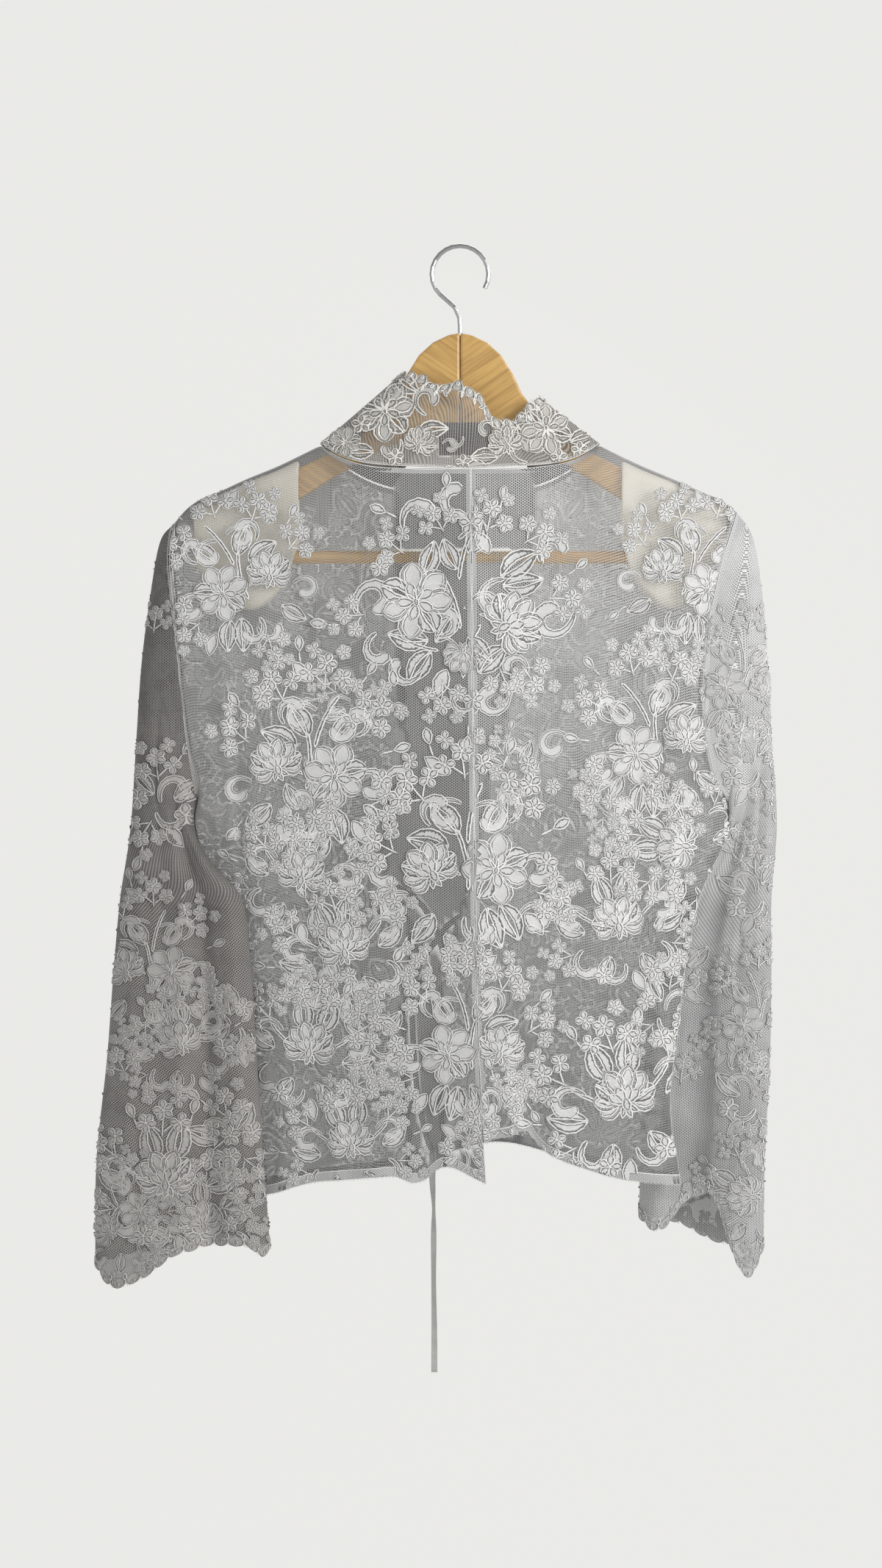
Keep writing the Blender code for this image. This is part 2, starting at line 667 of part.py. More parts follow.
def main():
    clear_scene()
    shirt = bpy.data.collections.new("lace_shirt")
    bpy.context.scene.collection.children.link(shirt)
    for side in ("left", "right"):
        for face in ("back", "front"):
            facing = Vector((0, FACING[face], 0))
            cloth(f"{face}_{side}", panel_points(face, side), LACE, shirt, facing=facing)
        cloth(f"sleeve_{side}", sleeve_points(side), LACE, shirt, closed=True)
        cloth(f"shoulder_pad_{side}", pad_points(side), PADDING, shirt, wall=PAD_WALL)
        hanger_half(side, shirt)
    cloth("collar", collar_points(), LACE, shirt)
    cloth("neck_label", label_points(), LABEL, shirt, facing=Vector((0, -1, 0)), wall=LABEL_WALL)
    for name, route in RIBBONS.items():
        up = Vector((0, 1, 0))
        cloth(name, ribbon_points(route), RIBBON, shirt, facing=up, wall=RIBBON_WALL, offset=0.0)
    hanger_bar(shirt)
    hanger_hook(shirt)


main()
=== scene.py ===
# Lace shirt on a wooden hanger, seen from the back.
# Tables are in millimetres: x to the right, and a drop below the hook's bearing point (z is minus the drop).
import math

import bpy
import numpy as np
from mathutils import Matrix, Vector
from mathutils.bvhtree import BVHTree


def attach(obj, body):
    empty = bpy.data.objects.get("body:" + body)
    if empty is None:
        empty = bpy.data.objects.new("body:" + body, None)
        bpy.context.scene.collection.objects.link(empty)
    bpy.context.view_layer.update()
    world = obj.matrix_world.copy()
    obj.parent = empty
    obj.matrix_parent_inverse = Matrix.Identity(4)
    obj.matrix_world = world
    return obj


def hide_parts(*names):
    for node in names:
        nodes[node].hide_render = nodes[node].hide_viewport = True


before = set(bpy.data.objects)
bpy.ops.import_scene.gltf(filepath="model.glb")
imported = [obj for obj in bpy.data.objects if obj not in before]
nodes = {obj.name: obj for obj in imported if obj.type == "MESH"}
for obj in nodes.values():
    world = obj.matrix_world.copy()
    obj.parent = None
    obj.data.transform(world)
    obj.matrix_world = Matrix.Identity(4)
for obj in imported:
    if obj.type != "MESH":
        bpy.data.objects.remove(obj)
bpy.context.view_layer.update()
bpy.ops.object.select_all(action="DESELECT")
mm = 0.001
facing = {"back": -1, "front": 1}
outward = {"left": -1, "right": 1}


# small helpers

def curve(stations, values):
    # a smooth line that passes through the values
    s = np.asarray(stations, float)
    v = np.asarray(values, float)
    slopes = np.gradient(v, s, axis=0)

    def at(t):
        t = np.clip(np.asarray(t, float), s[0], s[-1])
        left = np.clip(np.searchsorted(s, t, side="right") - 1, 0, len(s) - 2)
        span = s[left + 1] - s[left]
        u = (t - s[left]) / span
        grow = u.shape + (1,) * (v.ndim - 1)
        u = u.reshape(grow)
        span = span.reshape(grow)
        near = (1 + 2 * u) * (1 - u) ** 2
        far = u * u * (3 - 2 * u)
        lean = slopes[left] * u * (1 - u) ** 2 + slopes[left + 1] * u * u * (u - 1)
        return v[left] * near + v[left + 1] * far + lean * span
    return at


def line(*pairs):
    return curve([p[0] for p in pairs], [p[1] for p in pairs])


def ease(t):
    t = np.clip(t, 0, 1)
    return t * t * (3 - 2 * t)


def mix(a, b, t):
    return a + (b - a) * t


def arcHeight(t, squareness):
    t = np.clip(np.abs(t), 0, 1)
    return (1 - t ** squareness) ** (1 / squareness)


def roundPower(value, squareness):
    return np.sign(value) * np.abs(value) ** (2 / squareness)


def metres(x, y, drop):
    return np.stack([x * mm, y * mm, -drop * mm], axis=-1)


def addObject(name, data):
    thing = bpy.data.objects.new(name, data)
    bpy.context.scene.collection.objects.link(thing)
    return thing


def meshPiece(name, places, quads, material, uv=None, values=None, smooth=True):
    # a mesh object from arrays: uv is one pair per vertex, values are named numbers per vertex
    mesh = bpy.data.meshes.new(name)
    mesh.vertices.add(len(places))
    mesh.vertices.foreach_set("co", np.asarray(places, np.float32).ravel())
    loops = np.asarray(quads, np.int32)
    mesh.loops.add(loops.size)
    mesh.loops.foreach_set("vertex_index", loops.ravel())
    mesh.polygons.add(len(loops))
    mesh.polygons.foreach_set("loop_start", np.arange(0, loops.size, loops.shape[1], dtype=np.int32))
    mesh.update(calc_edges=True)
    mesh.validate()
    if uv is not None:
        layer = mesh.uv_layers.new(name="cloth")
        layer.data.foreach_set("uv", np.asarray(uv, np.float32)[loops.ravel()].ravel())
    for key, column in (values or {}).items():
        mesh.attributes.new(key, "FLOAT", "POINT").data.foreach_set("value", np.asarray(column, np.float32))
    if smooth:
        mesh.shade_smooth()
    piece = addObject(name, mesh)
    mesh.materials.append(material)
    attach(piece, "root")
    return piece


def slab(outer, inner, outwards):
    # two like grids joined round their rims
    rows, columns = outer.shape[:2]
    size = rows * columns
    places = np.concatenate([outer.reshape(-1, 3), inner.reshape(-1, 3)])
    quads = gridQuads(rows, columns)
    quads = lookOut(places, quads, outwards.reshape(-1, 3)[quads[:, 0]])
    ring = np.concatenate([np.arange(columns), np.arange(1, rows) * columns + columns - 1,
                           (rows - 1) * columns + np.arange(columns - 2, -1, -1), np.arange(rows - 2, 0, -1) * columns])
    after = np.roll(ring, -1)
    rim = np.stack([ring, after, after + size, ring + size], axis=1)
    if runsAlong(quads, ring[0], after[0]):
        rim = rim[:, ::-1]
    return places, np.concatenate([quads, quads[:, ::-1] + size, rim])


def runsAlong(quads, first, second):
    # whether a face goes from the first vertex to the second
    return bool(((quads == first) & (np.roll(quads, -1, axis=1) == second)).any())


def lookOut(places, quads, outwards, each=False):
    # turns faces round that look inwards: all of them together, or each by itself
    a, b, c, d = (places[quads[:, k]] for k in range(4))
    inward = (np.cross(c - a, d - b) * outwards).sum(axis=1)
    if each:
        return np.where((inward < 0)[:, None], quads[:, ::-1], quads)
    return quads[:, ::-1] if inward.sum() < 0 else quads


def ladderQuads(rows, count):
    first = np.arange(rows - 1)[:, None] * count + np.arange(count - 1)
    return np.stack([first, first + 1, first + 1 + count, first + count], axis=-1).reshape(-1, 4)


def walked(points):
    # how far along a line each of its points is
    return np.concatenate([[0], np.cumsum(np.linalg.norm(np.diff(points, axis=0), axis=1))])


def gridQuads(rows, columns, closed=False):
    down, across = np.meshgrid(np.arange(rows - 1), np.arange(columns if closed else columns - 1), indexing="ij")
    beside = (across + 1) % columns
    corners = [down * columns + across, (down + 1) * columns + across,
               (down + 1) * columns + beside, down * columns + beside]
    return np.stack(corners, axis=-1).reshape(-1, 4)


# camera

shot = {
    "middleX": -0.0148,
    "middleZ": -0.4155,
    "tall": 1.2158,        # what the picture takes in at the garment, in metres
    "distance": 2.8,
    "sensor": 36,
}


def addCamera():
    data = bpy.data.cameras.new("camera")
    data.sensor_width = shot["sensor"]
    data.lens = shot["sensor"] * shot["distance"] / shot["tall"]
    data.clip_end = 50
    camera = addObject("camera", data)
    camera.location = (shot["middleX"], -shot["distance"], shot["middleZ"])
    camera.rotation_euler = (math.pi / 2, 0, 0)
    bpy.context.scene.camera = camera
    bpy.context.scene.view_settings.view_transform = "Standard"


addCamera()
print("camera placed")

# materials


def newMaterial(name, settings):
    material = bpy.data.materials.new(name)
    material.use_nodes = True
    tree = material.node_tree
    shader = tree.nodes["Principled BSDF"]
    for key, value in settings.items():
        shader.inputs[key].default_value = value
    return material, tree, shader


def addNode(tree, kind, inputs=None, **settings):
    node = tree.nodes.new("ShaderNode" + kind)
    for key, value in settings.items():
        setattr(node, key, value)
    for key, value in (inputs or {}).items():
        if isinstance(value, bpy.types.NodeSocket):
            tree.links.new(value, node.inputs[key])
        else:
            node.inputs[key].default_value = value
    return node


def sums(tree, operation, a, b):
    return addNode(tree, "Math", {0: a, 1: b}, operation=operation).outputs[0]


def times(tree, a, b):
    return sums(tree, "MULTIPLY", a, b)


def plus(tree, a, b):
    return sums(tree, "ADD", a, b)


def most(tree, a, b):
    return sums(tree, "MAXIMUM", a, b)


def ramp(tree, value, low, high, start=0.0, end=1.0):
    inputs = {"Value": value, "From Min": low, "From Max": high, "To Min": start, "To Max": end}
    return addNode(tree, "MapRange", inputs, interpolation_type="SMOOTHSTEP").outputs[0]


def blendColour(tree, share, first, second):
    node = addNode(tree, "Mix", data_type="RGBA")
    for socket, value in ((node.inputs[0], share), (node.inputs[6], first), (node.inputs[7], second)):
        if isinstance(value, bpy.types.NodeSocket):
            tree.links.new(value, socket)
        else:
            socket.default_value = value
    return node.outputs[2]


def paintedLightFall(tree, fall):
    # painted light and shade: a cloth made lighter or darker from the shoulder down to the hem
    height = addNode(tree, "SeparateXYZ", {0: addNode(tree, "TexCoord").outputs["Object"]}).outputs[2]
    return ramp(tree, height, -0.25, -0.7, *fall)


def noise(tree, vector, scale, detail=2.0, rough=0.5):
    inputs = {"Vector": vector, "Scale": scale, "Detail": detail, "Roughness": rough}
    return addNode(tree, "TexNoise", inputs).outputs[0]


def wave(tree, value, length):
    turns = times(tree, value, 2 * math.pi / length)
    return addNode(tree, "Math", {0: turns}, operation="SINE").outputs[0]


def paint(tree, shader, colour):
    # painted light: the same colour also glows a little, standing in for light that reaches the piece through the cloth
    tree.links.new(colour, shader.inputs["Base Color"])
    tree.links.new(colour, shader.inputs["Emission Color"])


def relief(tree, shader, height, distance, strength):
    bump = addNode(tree, "Bump", {"Height": height, "Distance": distance, "Strength": strength})
    tree.links.new(bump.outputs[0], shader.inputs["Normal"])


netLook = {
    "pitch": 0.00165,       # from hole to hole, in metres
    "tall": 1.22,           # the holes are taller than wide
    "threadEdge": (-1.2, -0.5),
}


def netMaterial(name, thread, hole, fall, paintedGlow):
    # a six-sided net: light threads round dark holes, and an attribute says how far a hole is filled in with the hole
    # colour, painted shade that stands in for the dark inside of the garment
    settings = {"Roughness": 0.85, "Specular IOR Level": 0.2, "Emission Strength": paintedGlow}
    material, tree, shader = newMaterial(name, settings)
    uv = addNode(tree, "UVMap", uv_map="cloth").outputs[0]
    waves = None
    for degrees in (0, 120, 240):
        turn = math.radians(degrees)
        size = 2 * math.pi / netLook["pitch"] / math.cos(math.radians(30))
        aim = (math.cos(turn) * size, math.sin(turn) * size / netLook["tall"], 0)
        dot = addNode(tree, "VectorMath", {0: uv, 1: aim}, operation="DOT_PRODUCT").outputs["Value"]
        one = addNode(tree, "Math", {0: dot}, operation="COSINE").outputs[0]
        waves = one if waves is None else plus(tree, waves, one)
    threads = ramp(tree, waves, *netLook["threadEdge"], start=1.0, end=0.0)
    shade = times(tree, ramp(tree, noise(tree, uv, 22, 3), 0.3, 0.7, 0.9, 1.1), paintedLightFall(tree, fall))
    colour = blendColour(tree, threads, (*hole, 1), (*thread, 1))
    paint(tree, shader, addNode(tree, "VectorMath", {0: colour, "Scale": shade}, operation="SCALE").outputs[0])
    holeFill = addNode(tree, "Attribute", attribute_name="holeFill").outputs["Fac"]
    solid = addNode(tree, "Mix", {0: threads, 3: 1.0}, data_type="FLOAT")
    tree.links.new(holeFill, solid.inputs[2])
    tree.links.new(solid.outputs[0], shader.inputs["Alpha"])
    relief(tree, shader, threads, 0.0002, 0.4)
    return material


laceLook = {
    # bands beside the edge: middle, half width and softness, in millimetres; the grooves are dark lines of painted
    # shadow beside the cords
    "cord": (0.42, 0.22, 0.14), "grooveShadow": (1.02, 0.2, 0.2), "secondCord": (2.35, 0.2, 0.16),
    "innerGrooveShadow": (1.8, 0.08, 0.18), "lastGrooveShadow": (2.92, 0.1, 0.2),
    # small holes along the filling
    "pinStep": 0.0011, "pinDepth": 1.35,
    "rib": 0.0007,
}


def bandOf(tree, value, middle, half, soft):
    # one where the value is near the middle, nothing further off
    off = sums(tree, "ABSOLUTE", sums(tree, "SUBTRACT", value, middle), 0.0)
    return ramp(tree, off, half, half + soft, 1.0, 0.0)


def laceMaterial(name, fill, cord, line, thick, fall, paintedGlow):
    # cotton worked on the net: a light raised cord at each edge, a thin dark line of painted shadow in the groove
    # beside it, and ribbed fillings
    settings = {"Roughness": 0.8, "Specular IOR Level": 0.25, "Sheen Weight": 0.15, "Emission Strength": paintedGlow}
    material, tree, shader = newMaterial(name, settings)
    uv = addNode(tree, "UVMap", uv_map="cloth").outputs[0]
    coords = addNode(tree, "TexCoord").outputs["Object"]
    place = addNode(tree, "SeparateXYZ", {0: uv})
    along = place.outputs[0]
    inside = times(tree, place.outputs[1], 1000.0 / thick)      # millimetres from the nearest edge
    double = addNode(tree, "Attribute", attribute_name="double").outputs["Fac"]
    depth = plus(tree, inside, ramp(tree, noise(tree, uv, 420, 1), 0.3, 0.7, -0.12, 0.12))
    cords = bandOf(tree, depth, *laceLook["cord"])
    second = times(tree, bandOf(tree, depth, *laceLook["secondCord"]), double)
    grooveShadows = bandOf(tree, depth, *laceLook["grooveShadow"])
    inner = most(tree, bandOf(tree, depth, *laceLook["innerGrooveShadow"]), bandOf(tree, depth, *laceLook["lastGrooveShadow"]))
    inner = times(tree, double, inner)
    # painted shadow: a dark rim at the very edge and dark lines in the grooves beside the cords
    rim = ramp(tree, inside, 0.0, 0.14, 0.8, 0.0)
    dark = most(tree, most(tree, grooveShadows, inner), rim)
    repeat = sums(tree, "PINGPONG", along, laceLook["pinStep"])
    farAlong = sums(tree, "POWER", times(tree, repeat, 2400.0), 2.0)
    farInside = sums(tree, "POWER", times(tree, sums(tree, "SUBTRACT", depth, laceLook["pinDepth"]), 2.4), 2.0)
    pins = ramp(tree, plus(tree, farAlong, farInside), 0.3, 0.8, 1.0, 0.0)
    pins = times(tree, pins, ramp(tree, noise(tree, coords, 95), 0.5, 0.56))
    fine, cloud = noise(tree, uv, 900, 3), noise(tree, coords, 60)
    light = most(tree, cords, second)
    base = blendColour(tree, light, (*fill, 1), (*cord, 1))
    shadowLined = blendColour(tree, times(tree, dark, sums(tree, "SUBTRACT", 1.0, light)), base, (*line, 1))
    pinned = blendColour(tree, pins, shadowLined, tuple(part * 0.55 for part in line) + (1,))
    shade = times(tree, ramp(tree, fine, 0.25, 0.75, 0.9, 1.06), ramp(tree, cloud, 0.3, 0.7, 0.93, 1.04))
    shade = times(tree, shade, paintedLightFall(tree, fall))
    paint(tree, shader, addNode(tree, "VectorMath", {0: pinned, "Scale": shade}, operation="SCALE").outputs[0])
    ribs = times(tree, wave(tree, along, laceLook["rib"]), 0.3)
    height = plus(tree, ribs, plus(tree, fine, times(tree, light, 1.2)))
    relief(tree, shader, height, 0.00022, 0.6)
    return material


def oakMaterial(name, slant, light=(0.70, 0.445, 0.15), dark=(0.40, 0.225, 0.065), paintedGlow=0.0):
    # straight oak grain that runs down at a slant, with short pores and broad flecks
    settings = {"Roughness": 0.42, "Coat Weight": 0.25, "Coat Roughness": 0.3, "Emission Strength": paintedGlow}
    material, tree, shader = newMaterial(name, settings)
    coords = addNode(tree, "TexCoord").outputs["Object"]
    turned = addNode(tree, "Mapping", {"Vector": coords, "Rotation": (0, math.radians(slant), 0)}).outputs[0]

    def along(stretch, detail, rough=0.5):
        return noise(tree, addNode(tree, "Mapping", {"Vector": turned, "Scale": stretch}).outputs[0], 1, detail, rough)
    bands, pores, tone = along((14, 120, 330), 4, 0.6), along((60, 900, 1500), 2), along((9, 30, 60), 1)
    grain = plus(tree, times(tree, ramp(tree, bands, 0.3, 0.7), 0.62),
                 times(tree, ramp(tree, tone, 0.3, 0.7), 0.38))
    colour = blendColour(tree, grain, (*dark, 1), (*light, 1))
    colour = blendColour(tree, ramp(tree, pores, 0.62, 0.75, 0.0, 0.45), colour, (0.25, 0.13, 0.05, 1))
    paint(tree, shader, colour)
    relief(tree, shader, grain, 0.0002, 0.25)
    return material


def feltMaterial(name):
    # painted light: the felt glows a little, standing in for light reaching the pads inside the garment
    settings = {"Roughness": 0.95, "Specular IOR Level": 0.15, "Emission Color": (0.8, 0.76, 0.68, 1),
                "Emission Strength": 0.06}
    material, tree, shader = newMaterial(name, settings)
    coords = addNode(tree, "TexCoord").outputs["Object"]
    fibres, cloud = noise(tree, coords, 1400, 3), noise(tree, coords, 38)
    pale = blendColour(tree, ramp(tree, cloud, 0.3, 0.7), (0.80, 0.755, 0.66, 1), (0.90, 0.86, 0.77, 1))
    colour = blendColour(tree, ramp(tree, fibres, 0.35, 0.7, 0.0, 0.25), pale, (0.60, 0.57, 0.49, 1))
    tree.links.new(colour, shader.inputs["Base Color"])
    relief(tree, shader, fibres, 0.0003, 0.5)
    return material


def tapeMaterial(name, light, dark, ribs):
    # a close woven ribbon: fine ribs across its length, from its own map
    material, tree, shader = newMaterial(name, {"Roughness": 0.55, "Sheen Weight": 0.3})
    uv = addNode(tree, "UVMap", uv_map="cloth").outputs[0]
    place = addNode(tree, "SeparateXYZ", {0: uv})
    yarn = times(tree, wave(tree, place.outputs[0], ribs * 0.7), 0.6)
    weave = ramp(tree, plus(tree, wave(tree, place.outputs[1], ribs), yarn), -1.4, 1.4)
    share = times(tree, weave, ramp(tree, noise(tree, uv, 120, 3), 0.3, 0.7, 0.7, 1.0))
    tree.links.new(blendColour(tree, share, (*dark, 1), (*light, 1)), shader.inputs["Base Color"])
    relief(tree, shader, weave, 0.0001, 0.4)
    return material


def wireMaterial(name):
    material, tree, shader = newMaterial(name, {"Metallic": 0.9})
    scuffs = noise(tree, addNode(tree, "TexCoord").outputs["Object"], 420, 4)
    tree.links.new(ramp(tree, scuffs, 0.3, 0.75, 0.16, 0.34), shader.inputs["Roughness"])
    tree.links.new(blendColour(tree, scuffs, (0.30, 0.30, 0.305, 1), (0.42, 0.42, 0.425, 1)),
                   shader.inputs["Base Color"])
    return material


# floor, backdrop and lights

studio = {
    "floor": -1.35,
    "near": -4.0,
    "wall": 2.2,
    "top": 3.0,
    "bend": 0.8,
    "half": 5.0,
    "paper": (0.83, 0.826, 0.805),
    "glow": 0.965,
    "sky": (0.83, 0.826, 0.81),
    "skyPower": 0.6,
}


def addStudio():
    floor, bend, bendStart = studio["floor"], studio["bend"], studio["wall"] - studio["bend"]
    sweep = [(studio["near"], floor), (-1.0, floor), (bendStart, floor)]
    for degrees in range(6, 91, 6):
        turn = math.radians(degrees)
        sweep.append((bendStart + bend * math.sin(turn), floor + bend * (1 - math.cos(turn))))
    sweep.append((studio["wall"], studio["top"]))
    places = [(x, y, z) for y, z in sweep for x in (-studio["half"], studio["half"])]
    mesh = bpy.data.meshes.new("backdrop")
    quads = [(2 * k, 2 * k + 1, 2 * k + 3, 2 * k + 2) for k in range(len(sweep) - 1)]
    mesh.from_pydata(places, [], quads)
    mesh.shade_smooth()
    backdrop = addObject("backdrop", mesh)
    material = bpy.data.materials.new("paper")
    material.use_nodes = True
    tree = material.node_tree
    tree.nodes.clear()
    diffuse = addNode(tree, "BsdfDiffuse", {"Color": (0.03, 0.03, 0.03, 1)})
    glow = addNode(tree, "Emission", {"Color": (*studio["paper"], 1), "Strength": studio["glow"]})
    both = addNode(tree, "AddShader", {0: diffuse.outputs[0], 1: glow.outputs[0]})
    away = addNode(tree, "NewGeometry").outputs["Backfacing"]
    clear = addNode(tree, "BsdfTransparent")
    front = addNode(tree, "MixShader", {0: away, 1: both.outputs[0], 2: clear.outputs[0]})
    output = addNode(tree, "OutputMaterial")
    tree.links.new(front.outputs[0], output.inputs["Surface"])
    mesh.materials.append(material)


lamps = {
    "key": {"place": (1.7, -1.5, 0.25), "aim": (0, 0, -0.42), "size": 1.1, "power": 34, "colour": (1, 0.99, 0.975)},
    "fill": {"place": (-1.6, -2.4, -0.2), "aim": (0, 0, -0.45), "size": 2.0, "power": 7, "colour": (1, 0.99, 0.98)},
    "rim": {"place": (0.6, 1.6, 0.8), "aim": (0, 0, -0.4), "size": 1.5, "power": 10, "colour": (1, 1, 1)},
}


def addLamps():
    for name, lamp in lamps.items():
        data = bpy.data.lights.new(name, "AREA")
        data.size = lamp["size"]
        data.energy = lamp["power"]
        data.color = lamp["colour"]
        light = addObject(name, data)
        light.location = lamp["place"]
        aim = Vector(lamp["aim"]) - Vector(lamp["place"])
        light.rotation_euler = aim.to_track_quat("-Z", "Y").to_euler()
    world = bpy.data.worlds.new("studio")
    world.use_nodes = True
    back = world.node_tree.nodes["Background"]
    back.inputs[0].default_value = (*studio["sky"], 1)
    back.inputs[1].default_value = studio["skyPower"]
    bpy.context.scene.world = world


addStudio()
addLamps()
print("studio ready")

# the garment's form, the same tables as the solids

neck = {
    "half": 108, "round": 2.4, "side": 154,
    "depth": {"back": 22, "front": 20},
    "drop": {"back": 172.7, "front": 190},
    "power": {"back": 5, "front": 3},
}
body = {"round": 2.6, "turn": 30, "lean": 6, "leanOver": 60, "middleGap": 0.15}
armhole = {
    "tip": {"left": 214, "right": 205}, "under": {"left": 426, "right": 429}, "half": 19, "round": 3.0,
    "gap": (0.5, 0.8), "gapOver": 30,       # the sleeve stands off a little more under the arm
}
hemSide = {"left": 735, "right": 725}
hemMiddle = 720
wall = 1.2

centreLine = line((173, 8), (378, 10), (663, 16), (723, 20))
sideLines = {
    "left": line((214, -221), (240, -224), (270, -222), (317, -218), (382, -211), (426, -203), (440, -206),
                 (457, -204), (474, -198), (492, -190), (544, -177), (606, -168), (663, -163), (735, -170)),
    "right": line((205, 213), (230, 205), (260, 197), (292, 191), (340, 188), (385, 190), (415, 198), (429, 206),
                  (442, 208), (457, 206), (474, 198), (492, 189), (544, 176), (606, 168), (663, 162), (725, 170)),
}
shoulderLine = line((108, 154), (141, 170), (163, 179), (185, 189), (205, 198), (213, 204.5), (221, 214))
depthLines = {
    "back": line((150, 21), (210, 22), (300, 23), (430, 22), (560, 22), (735, 24)),
    "front": line((150, 20), (210, 21), (300, 23), (430, 23), (560, 24), (735, 24)),
}
frontEdges = {
    "left": line((185, -52), (300, -50), (358, -47), (400, -46), (425, -54), (455, -62), (490, -58), (515, -46),
                 (540, -39), (575, -45), (620, -47), (716, -41)),
    "right": line((185, 59), (240, 57), (300, 49), (358, 38), (400, 27), (470, 14), (523, 2), (560, -8),
                  (584, -13), (640, -13), (705, -9)),
}
hemLines = {
    "back_left": line((-172, 735), (-143, 731), (-128, 726), (-110, 722), (-88, 720), (-67, 718), (-48, 718),
                      (-38, 722), (-28, 720), (-14, 710), (-4, 711), (8, 717), (20, 723)),
    "back_right": line((16, 694), (26, 689), (44, 685), (52, 681), (58, 685), (64, 694), (76, 703), (91, 709),
                       (111, 716), (127, 720), (145, 722), (172, 725)),
    "front_left": line((-172, 733), (-120, 724), (-80, 719), (-41, 715)),
    "front_right": line((-12, 704), (30, 695), (80, 706), (125, 718), (172, 725)),
}
# folds: x at the top and bottom, drop at the top and bottom, width, depth (a trough is negative)
bodyFolds = {
    "back": [
        (-165, -148, 300, 800, 12, 3.0), (-118, -112, 430, 800, 10, -3.5), (-62, -70, 520, 800, 13, 2.5),
        (58, 52, 600, 800, 12, -4.0), (98, 84, 480, 800, 12, 3.0), (140, 128, 330, 800, 12, -3.0),
        (155, 110, 215, 400, 14, -2.5), (-150, -95, 215, 380, 14, -2.5),
    ],
    "front": [
        (-150, -140, 320, 800, 12, 2.5), (-100, -96, 460, 800, 12, -3.0),
        (70, 60, 440, 800, 13, 2.5), (120, 112, 300, 800, 13, -3.0),
    ],
}
# smaller creases that only the looks have
creases = {
    "back": [
        (-186, -170, 250, 620, 4, 3.4), (-177, -160, 280, 740, 3.6, -3.0), (-196, -181, 330, 560, 3, 2.2),
        (-140, -136, 520, 820, 5, 2.4), (-92, -98, 560, 830, 5, 1.5),
        (-30, -22, 560, 830, 6, -2.0), (-8, -16, 600, 840, 4, 1.6),
        (34, 40, 560, 820, 5, 1.8), (74, 70, 600, 830, 5, 1.6), (116, 108, 420, 760, 6, -1.6),
        (160, 150, 250, 560, 4, -2.2), (172, 160, 230, 640, 4, 2.2), (180, 120, 205, 330, 6, 1.5),
        (-196, -130, 215, 330, 6, 1.5), (60, 30, 190, 300, 9, -1.2), (-60, -30, 190, 300, 9, -1.2),
    ],
    "front": [
        (-176, -166, 250, 640, 4.5, 1.6), (-126, -120, 430, 800, 5, 1.8), (-74, -70, 520, 800, 5, -1.6),
        (38, 30, 480, 800, 6, -1.8), (96, 88, 360, 760, 5, 1.7), (146, 136, 260, 700, 5, -1.6),
        (-150, -110, 215, 380, 8, -1.8), (160, 110, 210, 370, 8, -1.8),
    ],
}


def topDrop(face, x):
    far = np.abs(x)
    rise = (neck["drop"][face] - neck["side"]) * (np.minimum(far, neck["half"]) / neck["half"]) ** neck["power"][face]
    return np.where(far >= neck["half"], shoulderLine(far), neck["drop"][face] - rise)


def topDepth(face, x):
    return np.maximum(0.15, neck["depth"][face] * arcHeight(x / neck["half"], neck["round"]))


def foldHeight(folds, x, drop):
    height = 0.0
    for xTop, xBottom, dropTop, dropBottom, width, depth in folds:
        t = (drop - dropTop) / (dropBottom - dropTop)
        middle = mix(xTop, xBottom, t)
        height = height + depth * ease(t / 0.3) * ease((1 - t) / 0.3) * np.exp(-((x - middle) / width) ** 2)
    return height


def armholeHalf(side, drop):
    middle = (armhole["tip"][side] + armhole["under"][side]) / 2
    reach = armhole["under"][side] - middle
    return armhole["half"] * arcHeight(np.maximum(drop - middle, 0) / reach, armhole["round"])


def bodyY(face, side, x, drop, fine=True):
    middle = centreLine(drop)
    across = np.clip((x - middle) / (sideLines[side](drop) - middle), 0, 1)
    edge = armholeHalf(side, drop)
    depth = edge + (depthLines[face](drop) - edge) * arcHeight(across, body["round"])
    folds = bodyFolds[face] + (creases[face] if fine else [])
    depth = depth + foldHeight(folds, x, drop) * (1 - across ** 6)
    start = topDepth(face, x)
    below = np.maximum(drop - topDrop(face, x), 0)
    turn = arcHeight(1 - np.minimum(below / body["turn"], 1), 2)
    depth = np.maximum(start + (depth - start) * turn, 0.15)
    lean = body["lean"] * across ** 2 * ease((drop - armhole["under"][side]) / body["leanOver"])
    return facing[face] * depth - outward[side] * lean


def panelGrid(face, side, rows=64, columns=72):
    def inner(drop):
        return frontEdges[side](drop) if face == "front" else centreLine(drop) + outward[side] * body["middleGap"]

    first, last = float(inner(armhole["tip"][side])), float(sideLines[side](armhole["tip"][side]))
    t = np.linspace(0, 1, rows)
    upper = np.linspace(0.02, 0.24, 64)       # closer where the shoulder turns and the hanger shows through
    downs = np.concatenate([[0, 0.0015, 0.004, 0.008, 0.014], upper, 0.24 + 0.76 * t[1:]])
    t = np.linspace(0, 1, columns)
    acrosses = 0.5 * t + 0.5 * np.sin(t * math.pi / 2)
    across, down = np.meshgrid(acrosses, downs)
    top = topDrop(face, mix(first, last, across))
    hemX = mix(inner(hemMiddle), sideLines[side](hemSide[side]), across)
    drop = mix(top, hemLines[f"{face}_{side}"](hemX), down)
    x = mix(inner(drop), sideLines[side](drop), across)
    return metres(x, bodyY(face, side, x, drop), drop)


